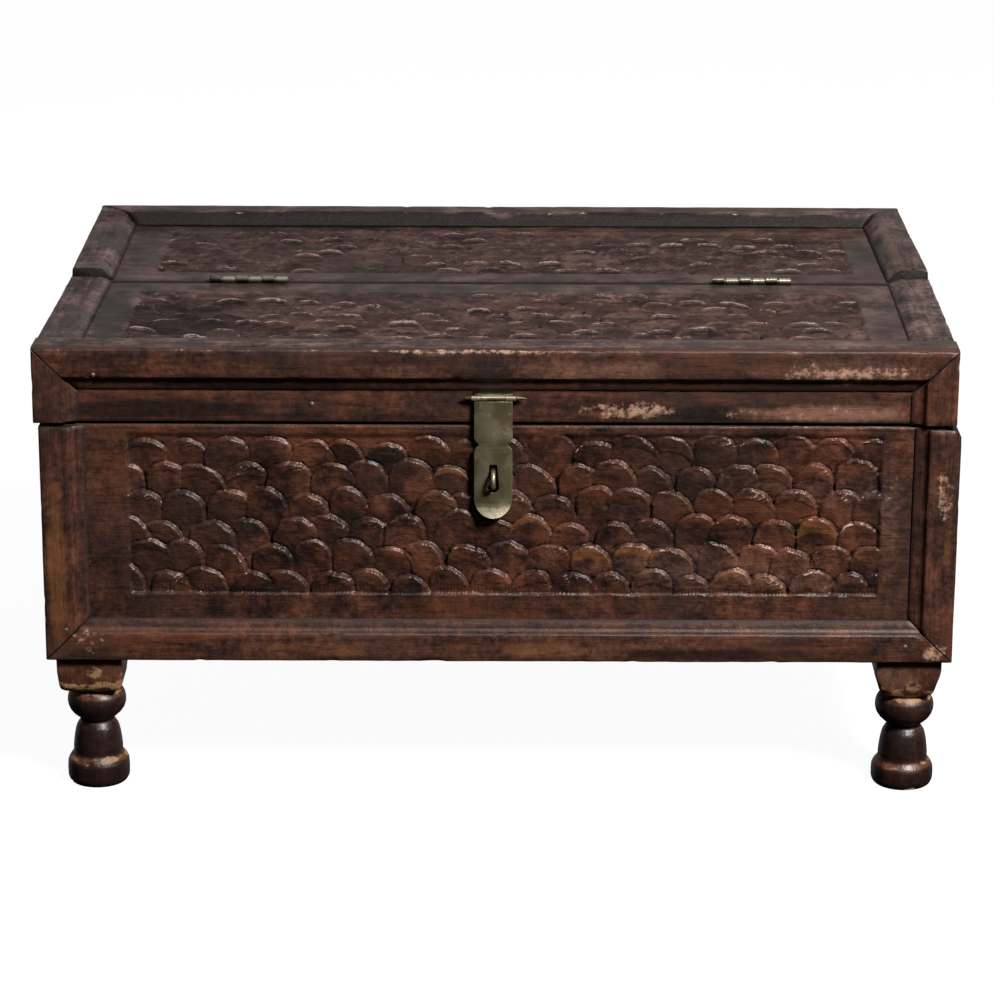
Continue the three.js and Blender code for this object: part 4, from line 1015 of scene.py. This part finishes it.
faced_board("front_board", "carcass", "-y", "+z", FRONT_FIELD, ("carved front", "raw x"),
            "carved_wood", 301, 0.6, pale_share=0.7)
faced_board("lid_front_board", "lid", "-y", "+z", None, ("front x", "raw x"), "plain_wood", 311, 3.0)
faced_board("lid_top_board", "lid", "+z", "+y", LID_FIELD, ("carved top", "raw x"),
            "top_wood", 321, 1.0, relief=hinge_room, row=17.5, **TOP_CARVING)
faced_board("fixed_top_board", "carcass", "+z", "+y", FIXED_TOP_FIELD, ("carved top", "raw x"),
            "top_wood", 331, 1.0, relief=hinge_room, row=17.0, **TOP_CARVING)
for hand, outward in (("left", "-x"), ("right", "+x")):
    faced_board(f"{hand}_side_board", "carcass", outward, "+z", SIDE_FIELD,
                ("carved side", "raw y"), "carved_wood", 341 + len(hand), 1.3)
    faced_board(f"{hand}_side_upper_board", "carcass", outward, "+z", None, ("side y", "raw y"),
                "plain_wood", 351 + len(hand), 4.0)
    faced_board(f"lid_{hand}_side_board", "lid", outward, "+z", None, ("side y", "raw y"),
                "plain_wood", 361 + len(hand), 4.0)
faced_board("back_board", "carcass", "+y", "+z", None, ("front x", "raw x"), "plain_wood", 371, 4.0)
faced_board("bottom_board", "carcass", "+z", "+y", None, ("raw x", "raw x"), "inside_wood", 381, 6.0)
for node, body, seed in (("fixed_top_cross_rail", "carcass", 391), ("lid_rear_batten", "lid", 401)):
    faced_board(node, body, "-z", "+y", None, ("raw x", "raw x"), "inside_wood", seed, 3.0)

# %% [markdown]
# ## Turned feet
#
# Each foot is turned from a square blank: the top stays square, and below it follow a bead, a neck,
# a bell and a thick ring. A lathe modifier could make the round part, but the change from square to
# round would be missing. So every ring of the mesh is a superellipse, which is a circle at power 2
# and nearly a square at power 22, and the power changes with the height. The rows of the profile
# give the height, half the width there and the power.

# %% Feet
FOOT_PROFILE = [
    (0.0, 17.0, 2), (0.6, 18.0, 2), (1.8, 18.8, 2), (3.5, 19.2, 2), (8.0, 19.3, 2), (11.8, 19.0, 2),
    (13.0, 18.5, 2), (14.4, 17.4, 2), (15.8, 16.1, 2), (17.0, 15.5, 2), (18.2, 15.3, 2), (20.0, 15.4, 2),
    (24.0, 15.0, 2), (29.0, 14.3, 2), (33.0, 13.4, 2), (35.4, 12.4, 2), (36.8, 11.2, 2), (37.6, 10.6, 2),
    (38.4, 10.4, 2), (39.2, 10.7, 2), (40.2, 12.0, 2), (42.0, 14.3, 2), (44.5, 16.4, 2), (47.5, 17.8, 2),
    (50.5, 18.2, 2), (53.5, 18.0, 2), (56.0, 17.0, 2), (58.0, 15.6, 2), (59.2, 14.6, 2), (59.8, 14.5, 2.2),
    (60.2, 15.0, 2.8), (60.8, 16.8, 5), (61.8, 18.4, 10), (63.4, 19.3, 16), (66.0, 19.7, 20),
    (76.0, 20.4, 22), (85.6, 20.5, 22), (86.0, 20.3, 22),
]
FOOT_POINTS = 96
FOOT_RINGS = 120
FOOT_LEDGES = (14.5, 38.5, 58.0, 65.0)
SQUARING = (59, 62)


def foot(node, seed, taper, lift, offset):
    """A turned foot. taper says how far the lower part of its block has been rubbed away, lift how
    much higher its beads sit, and offset how far they were turned off centre."""
    low, high = extent(node)
    centre = (low + high) / 2
    heights, sizes, powers = np.array(FOOT_PROFILE).T
    heights = heights + lift * smooth(heights, 2, 14) * (1 - smooth(heights, 60, 76))
    z = np.linspace(0, heights[-1], FOOT_RINGS)
    size = np.interp(z, heights, sizes)
    power = np.interp(z, heights, powers)
    squared = smooth(z, *SQUARING)
    size -= taper * squared * (1 - smooth(z, SQUARING[1], 80))
    angle = np.arange(FOOT_POINTS) / FOOT_POINTS * 2 * math.pi
    cosine, sine = np.cos(angle), np.sin(angle)
    radius = (np.abs(cosine[None]) ** power[:, None] + np.abs(sine[None]) ** power[:, None]) ** (
        -1 / power[:, None])
    x = size[:, None] * radius * cosine + offset * (1 - squared)[:, None]
    y = size[:, None] * radius * sine
    points = np.stack([x + centre[0], y + centre[1], z[:, None] + 0 * x], axis=-1).reshape(-1, 3)
    turn = np.gradient(np.gradient(size, z), z)
    corner = smooth(radius, 1.2, 1.38) * (power[:, None] > 6)
    near = np.maximum(smooth(-turn, 0.05, 0.35)[:, None], corner).ravel()
    away, bare = worn(points, near, seed, wobble=0.3, chip=1.4)
    flat = np.stack([points[:, 0] - centre[0], points[:, 1] - centre[1], 0 * points[:, 2]], axis=1)
    outward = flat / np.linalg.norm(flat, axis=1, keepdims=True)
    points = points - outward * (away * smooth(points[:, 2], 0.0, 1.0))[:, None]
    hollow = np.repeat(smooth(turn, 0.1, 0.6), FOOT_POINTS)
    faces = capped(np.arange(len(points)).reshape(FOOT_RINGS, FOOT_POINTS))
    tall = points[:, 2]
    stained = (0.65 + 0.4 * noise(points, (25, 25, 9), seed + 9)) * (1 - smooth(tall, 52, 64))
    patchy = smooth(noise(points, (11, 11, 4), seed + 12), 0.40, 0.58)
    for ledge in FOOT_LEDGES:
        spread, strength = (6.0, 1.0) if ledge > SQUARING[1] else (2.2, 0.85)
        band = np.exp(-(((tall - ledge - lift) / spread) ** 2))
        bare = np.maximum(bare, band * strength * patchy)
        stained = stained * (1 - 0.8 * band)
    paint = paint_of(points, bare=bare, grime=hollow * 0.85, char=stained)
    piece(node, points, faces, "foot", "carcass", (node,), paint)


for number, (node, taper, lift, offset) in enumerate([
        ("foot_front_left", 0.4, 2.0, 1.8), ("foot_front_right", 2.6, 0.0, 0.4),
        ("foot_rear_left", 1.4, 1.0, -0.8), ("foot_rear_right", 0.8, 0.5, 0.9)]):
    foot(node, 501 + 11 * number, taper, lift, offset)
print("four feet of", FOOT_RINGS, "rings")

# %% [markdown]
# ## Hasp
#
# The hasp is a strap of sheet brass with a slot, a notch on each side and a tip bent outwards. A 2D
# curve with an extrusion and a bevel gives a plate with soft edges and a clean hole. It becomes a
# mesh, is sliced across so that it can bend, and the tip is curled by moving its points.

# %% Hasp strap
hasp_axis = pivot("hasp_hinge")
strap_low, strap_high = extent("hasp_strap")
HALF_STRAP = (strap_high[0] - strap_low[0]) / 2
SHEET = 1.25
EDGE_ROUND = 0.3
STRAP_TOP = -2.0
NOTCH_DROP = 29.0
NOTCH_DEPTH = 3.0
SLOT_DROP = 50.0
SLOT_HALF = (3.5, 8.7)
SLOT_NARROW = 2.3
LIP = 9.0
LIP_REACH = 3.6
HASP_BARREL = 1.7
HASP_BORE = 1.05


def sheet(outlines, thickness, edge, step, middle=0.0):
    """A plate with soft edges from closed outlines, standing upright with its middle at that Y. It is
    cut across every step, so that it can be bent."""
    curve = bpy.data.curves.new("plate", "CURVE")
    curve.dimensions = "2D"
    curve.fill_mode = "BOTH"
    curve.extrude = thickness / 2 - edge
    curve.bevel_depth = edge
    curve.bevel_resolution = 2
    curve.offset = -edge
    for outline in outlines:
        spline = curve.splines.new("POLY")
        spline.points.add(len(outline) - 1)
        spline.points.foreach_set("co", np.array([(x, y, 0, 1) for x, y in outline], float).ravel())
        spline.use_cyclic_u = True
    holder = bpy.data.objects.new("plate", curve)
    mesh = bpy.data.meshes.new_from_object(holder)
    bpy.data.objects.remove(holder)
    bpy.data.curves.remove(curve)
    shape = bmesh.new()
    shape.from_mesh(mesh)
    bmesh.ops.remove_doubles(shape, verts=shape.verts[:], dist=0.001)
    heights = [v.co.y for v in shape.verts]
    for y in np.arange(min(heights) + step, max(heights), step):
        geometry = shape.verts[:] + shape.edges[:] + shape.faces[:]
        bmesh.ops.bisect_plane(shape, geom=geometry, plane_co=(0, y, 0), plane_no=(0, 1, 0))
    shape.verts.index_update()
    flat = np.array([tuple(v.co) for v in shape.verts])
    faces = [[v.index for v in face.verts] for face in shape.faces]
    shape.free()
    return np.stack([flat[:, 0], middle - flat[:, 2], flat[:, 1]], axis=1), faces


def arc(centre, radius, start, end, steps):
    """Points of an arc, angles in degrees."""
    angles = np.radians(np.linspace(start, end, steps))
    return [(centre[0] + radius * math.cos(a), centre[1] + radius * math.sin(a)) for a in angles]


def turned(profile, sides=28, closed=False):
    """Points and faces of a piece turned about X from (x, radius) pairs. A closed one is a sleeve."""
    turns = np.arange(sides) * 2 * math.pi / sides
    points = np.concatenate([
        np.stack([x + 0 * turns, r * np.cos(turns), r * np.sin(turns)], axis=1) for x, r in profile])
    rings = np.arange(len(points)).reshape(-1, sides)
    return points, bridged([*rings, rings[0]]) if closed else capped(rings)


def knuckle(radius, bore, start, end, soft=0.25):
    """A sleeve along X with soft ends, as on the barrel of a hinge."""
    return turned([(start, bore), (start, radius - soft), (start + soft, radius), (end - soft, radius),
                   (end, radius - soft), (end, bore)], 36, closed=True)


def joined(*parts):
    """One set of points and faces from several."""
    faces, base = [], 0
    for points, some_faces in parts:
        faces += [[base + i for i in face] for face in some_faces]
        base += len(points)
    return np.concatenate([points for points, _ in parts]), faces


tip = strap_low[2] - hasp_axis[2]
tip_centre = tip + HALF_STRAP
NOTCH = [(0.0, 4.6), (0.6, 2.6), (NOTCH_DEPTH, 0.0), (0.8, -2.0), (0.0, -4.6)]
left_edge = [(-HALF_STRAP, STRAP_TOP)] + [(x - HALF_STRAP, y - NOTCH_DROP) for x, y in NOTCH]
outline = left_edge + arc((0, tip_centre), HALF_STRAP, 180, 360, 40)
outline += [(-x, y) for x, y in left_edge[::-1]]
slot_top = SLOT_HALF[1] - SLOT_DROP
slot_line = [(SLOT_NARROW, slot_top - 0.5), (SLOT_NARROW - 0.4, slot_top),
             (0.4 - SLOT_NARROW, slot_top), (-SLOT_NARROW, slot_top - 0.5)]
slot_line += arc((0, SLOT_HALF[0] - SLOT_HALF[1] - SLOT_DROP), SLOT_HALF[0], 180, 360, 14)
strap, strap_faces = sheet([outline, slot_line], SHEET, EDGE_ROUND, 1.0)
lip = np.clip(tip + LIP - strap[:, 2], 0, None) / LIP
strap[:, 1] -= LIP_REACH * lip**1.5
strap_knuckle = knuckle(HASP_BARREL, HASP_BORE, -7.0, 7.0)
points, faces = joined((strap, strap_faces), strap_knuckle)
across_strap = np.abs(points[:, 0]) / HALF_STRAP
drop = -points[:, 2]
# The lip of the tip and the top of the barrel are painted clean and pale: partly rubbed brass, partly
# painted highlight.
bright = np.maximum(smooth(drop, -tip - LIP + 1, -tip - LIP + 4), smooth(-drop, 0.2, 1.0))
edge_shine = smooth(across_strap, 0.93, 1.0) * 0.7
placed = points + hasp_axis
bright = bright * (0.4 + 0.6 * smooth(noise(placed, (5, 5, 3), 63), 0.3, 0.6))
piece("hasp_strap", placed, faces, ("old brass", "bright brass"), "hasp", ("hasp_strap",),
      {"bare": np.maximum(bright, edge_shine * noise(placed, 6, 61)), "grime": 0}, sharp=35,
      backs=np.repeat([0, 1], [len(strap_faces), len(strap_knuckle[1])]))
print("hasp strap", np.round(placed.min(0), 1), np.round(placed.max(0), 1))

# %% Hasp leaf, pin and staple
HALF_LEAF = 11.5
LEAF_HEIGHT = 20.0
LEAF_SHEET = 1.0
leaf_outline = [(-HALF_LEAF, 0.0), (HALF_LEAF, 0.0), (HALF_LEAF, LEAF_HEIGHT),
                (-HALF_LEAF, LEAF_HEIGHT)]
board_face = extent("lid_front_board")[0][1]
leaf = sheet([leaf_outline], LEAF_SHEET, 0.2, 3.0, board_face - hasp_axis[1] - LEAF_SHEET / 2)
leaf_knuckles = [knuckle(HASP_BARREL, HASP_BORE, *reach) for reach in ((-13.25, -7.2), (7.2, 13.25))]
points, faces = joined(leaf, *leaf_knuckles)
# The knuckles are painted pale, partly painted highlight. Above the barrel the leaf lies in the shade of
# the lid's rail and is painted dark, as painted shade.
piece("hasp_leaf", points + hasp_axis, faces, ("old brass", "bright brass"), "lid",
      ("hasp_leaf",), {"bare": smooth(-np.abs(points[:, 2]), -1.8, -0.4),
                       "grime": smooth(points[:, 2], 1.2, 1.8)}, sharp=35,
      backs=np.repeat([0, 1], [len(leaf[1]), len(faces) - len(leaf[1])]))

pin_points, pin_faces = turned([
    (-19.9, 0.12), (-17.5, 0.7), (-14.6, 1.5), (-13.6, 1.6), (-13.45, 0.9),
    (13.45, 0.9), (13.6, 1.6), (14.6, 1.5), (17.5, 0.7), (19.9, 0.12)])
placed = pin_points + hasp_axis
piece("hasp_pin", placed, pin_faces, "old brass", "lid", ("hasp_pin",),
      {"bare": 0.2, "grime": 0.4}, sharp=40)

staple_low, staple_high = extent("hasp_staple")
WIRE = 1.4


def bent_wire(path, radius, sides=20):
    """Points and faces of a round wire along a path in a plane of equal X."""
    level = Vector((1, 0, 0))
    points = []
    for i, spot in enumerate(path):
        along = Vector(path[min(i + 1, len(path) - 1)]) - Vector(path[max(i - 1, 0)])
        other = level.cross(along.normalized())
        for turn in np.arange(sides) * 2 * math.pi / sides:
            points.append(Vector(spot) + radius * (level * math.cos(turn) + other * math.sin(turn)))
    rings = np.arange(len(points)).reshape(-1, sides)
    return np.array(points), [face[::-1] for face in capped(rings)]


staple_x = (staple_low[0] + staple_high[0]) / 2
staple_z = (staple_low[2] + staple_high[2]) / 2
bend = (staple_high[2] - staple_low[2]) / 2 - WIRE
bow = staple_low[1] + WIRE + bend
path = [(staple_x, staple_high[1], staple_z + bend)]
for angle in np.linspace(0, math.pi, 17):
    path.append((staple_x, bow - bend * math.sin(angle), staple_z + bend * math.cos(angle)))
path.append((staple_x, staple_high[1], staple_z - bend))
placed, wire_faces = bent_wire(path, WIRE)
piece("hasp_staple", placed, wire_faces, "old brass", "carcass", ("hasp_staple",),
      {"bare": 0.5 * smooth(-placed[:, 1], 183, 186), "grime": smooth(placed[:, 1], -181, -176)},
      sharp=40)

# %% [markdown]
# ## Butt hinges
#
# A butt hinge is two plates whose edges are rolled round one pin in turn. Only the barrel shows when
# the lid is shut. The plates and the heads of the screws come into view when it is open, so they are
# made as well.

# %% Hinges
lid_axis = pivot("lid_hinge")
BARREL = 2.2
KNUCKLES = 6
KNUCKLE_GAP = 0.9
KNUCKLE_SLIP = 0.3
LEAF = 1.125
PIN = 0.9


def hinge_leaf(hand, side, body):
    """One leaf. side is 1 for the leaf on the fixed top and -1 for the one on the lid."""
    word = "fixed" if side > 0 else "lid"
    node = f"hinge_{hand}_{word}_leaf"
    low = extent(node)[0]
    pin_low, pin_high = extent(f"hinge_{hand}_pin")
    middle = (pin_low[0] + pin_high[0]) / 2
    half = (pin_high[0] - pin_low[0]) / 2
    pitch = 2 * half / KNUCKLES
    foot_z, head_z = low[2] - lid_axis[2], -BARREL - 0.3
    outline = [(-half, foot_z), (half, foot_z), (half, head_z), (-half, head_z)]
    holes = []
    for screw in ("outer", "inner"):
        s_low, s_high = extent(f"hinge_{hand}_{word}_screw_{screw}")
        spot = ((s_low[0] + s_high[0]) / 2 - middle, (s_low[2] + s_high[2]) / 2 - lid_axis[2])
        holes.append(arc(spot, 2.65, 0, 345, 24))
    centre_y = side * (0.125 + LEAF / 2)
    parts = [sheet([outline, *holes], LEAF, 0.15, 4.0, centre_y)]
    for i in range(0 if side > 0 else 1, KNUCKLES, 2):
        start = -half + i * pitch + KNUCKLE_GAP / 2
        end = start + pitch - KNUCKLE_GAP
        sleeve, sleeve_faces = knuckle(BARREL, PIN + 0.2, start, end)
        parts.append((sleeve + (0, 0, side * KNUCKLE_SLIP), sleeve_faces))
        left, right_end = start + 0.1, end - 0.1
        neck = [(left, head_z - 0.6), (right_end, head_z - 0.6), (right_end, -0.9), (left, -0.9)]
        parts.append(sheet([neck], LEAF, 0.12, 4.0, centre_y))
    points, faces = joined(*parts)
    placed = points + (middle, lid_axis[1], lid_axis[2])
    pale_share = smooth(placed[:, 2], lid_axis[2] - 1.0, lid_axis[2] + 1.2)
    joints = np.abs(((placed[:, 0] - middle + half) / pitch + 0.5) % 1 - 0.5) * pitch
    grime = 0.9 * (1 - smooth(joints, 0.4, 0.9)) + 0.5 * (1 - pale_share) + (0.3 if side > 0 else 0.0)
    grime = grime + 0.8 * (1 - smooth(placed[:, 0], low[0], low[0] + 12)) * noise(placed, 5, 77)
    piece(node, placed, faces, "bright brass", body, (node,),
          {"bare": pale_share, "grime": grime}, sharp=40)


SCREW_SIDES = 32
# Each ring of the slot lies so deep in the head, and reaches so far across it and along it.
SCREW_SLOT = [(0.02, 1.9, 1.9), (0.02, 0.62, 1.9), (0.55, 0.60, 1.85)]


def hinge_screw(hand, word, place, side, body):
    """A countersunk screw with a slot across its head."""
    node = f"hinge_{hand}_{word}_screw_{place}"
    low, high = extent(node)
    length = high[1] - low[1]
    profile = [(0.0, 2.05), (0.12, 2.3), (0.3, 2.4), (0.98, 1.1), (length - 1.1, 1.1),
               (length - 0.2, 0.2)]
    shank, faces = turned(profile, SCREW_SIDES)
    del faces[-2]  # The cap over the head gives way to the slot.
    turns = np.arange(SCREW_SIDES) * 2 * math.pi / SCREW_SIDES
    slot_rings = [np.stack([depth + 0 * turns, wide * np.cos(turns), tall * np.sin(turns)], axis=1)
                  for depth, wide, tall in SCREW_SLOT]
    points = np.concatenate([shank, *slot_rings])
    rings = [np.arange(SCREW_SIDES)]
    rings += list(np.arange(len(shank), len(points)).reshape(-1, SCREW_SIDES))
    faces += bridged(rings[::-1]) + [rings[-1][::-1].tolist()]
    placed = np.stack([points[:, 1], side * points[:, 0], side * points[:, 2]], axis=1)
    centre = np.array([(low[0] + high[0]) / 2, low[1] if side > 0 else high[1], (low[2] + high[2]) / 2])
    grime = (points[:, 0] > 0.4) & (np.hypot(points[:, 1], points[:, 2]) < 2)
    piece(node, placed + centre, faces, "bright brass", body, (node,),
          {"bare": 0.4, "grime": grime.astype(float)}, sharp=35)


for hand in ("left", "right"):
    hinge_leaf(hand, 1, "carcass")
    hinge_leaf(hand, -1, "lid")
    pin_low, pin_high = extent(f"hinge_{hand}_pin")
    half = (pin_high[0] - pin_low[0]) / 2
    pin_points, pin_faces = turned([(-half, 0.5), (-half + 0.3, PIN), (half - 0.3, PIN), (half, 0.5)])
    placed = pin_points + (pin_low + pin_high) / 2
    piece(f"hinge_{hand}_pin", placed, pin_faces, "bright brass", "carcass",
          (f"hinge_{hand}_pin",), {"bare": 0.5, "grime": 0})
    for place in ("outer", "inner"):
        hinge_screw(hand, "fixed", place, 1, "carcass")
        hinge_screw(hand, "lid", place, -1, "lid")
print("two hinges")

# %% [markdown]
# ## Nails
#
# A few heads of the small nails that hold the mouldings have come up through the stain and catch the
# light. Each is a shallow dome with a short shank behind it.

# %% Nail heads
NAILS = {
    "lid_rail_nail": ((-241.0, extent("lid_front_rail")[0][1], 266.0), "lid"),
    "lid_board_nail": ((-112.0, extent("lid_front_board")[0][1], 247.0), "lid"),
    "body_stile_nail": ((-262.0, extent("front_left_stile")[0][1], 106.0), "carcass"),
    "bottom_rail_nail": ((246.0, extent("front_bottom_rail")[0][1], 97.0), "carcass"),
}
NAIL_PROFILE = [(-0.35, 0.15), (-0.3, 0.7), (-0.1, 1.15), (0.25, 1.3), (0.4, 0.7), (6.0, 0.6), (6.8, 0.1)]
for name, (place, body) in NAILS.items():
    head, head_faces = turned(NAIL_PROFILE, 24)
    upright = head[:, [1, 0, 2]] * (1, 1, -1)
    piece(name, upright + place, head_faces, "old nail", body,
          paint={"bare": 0.6, "grime": 0}, sharp=40)
print(len(NAILS), "nail heads")
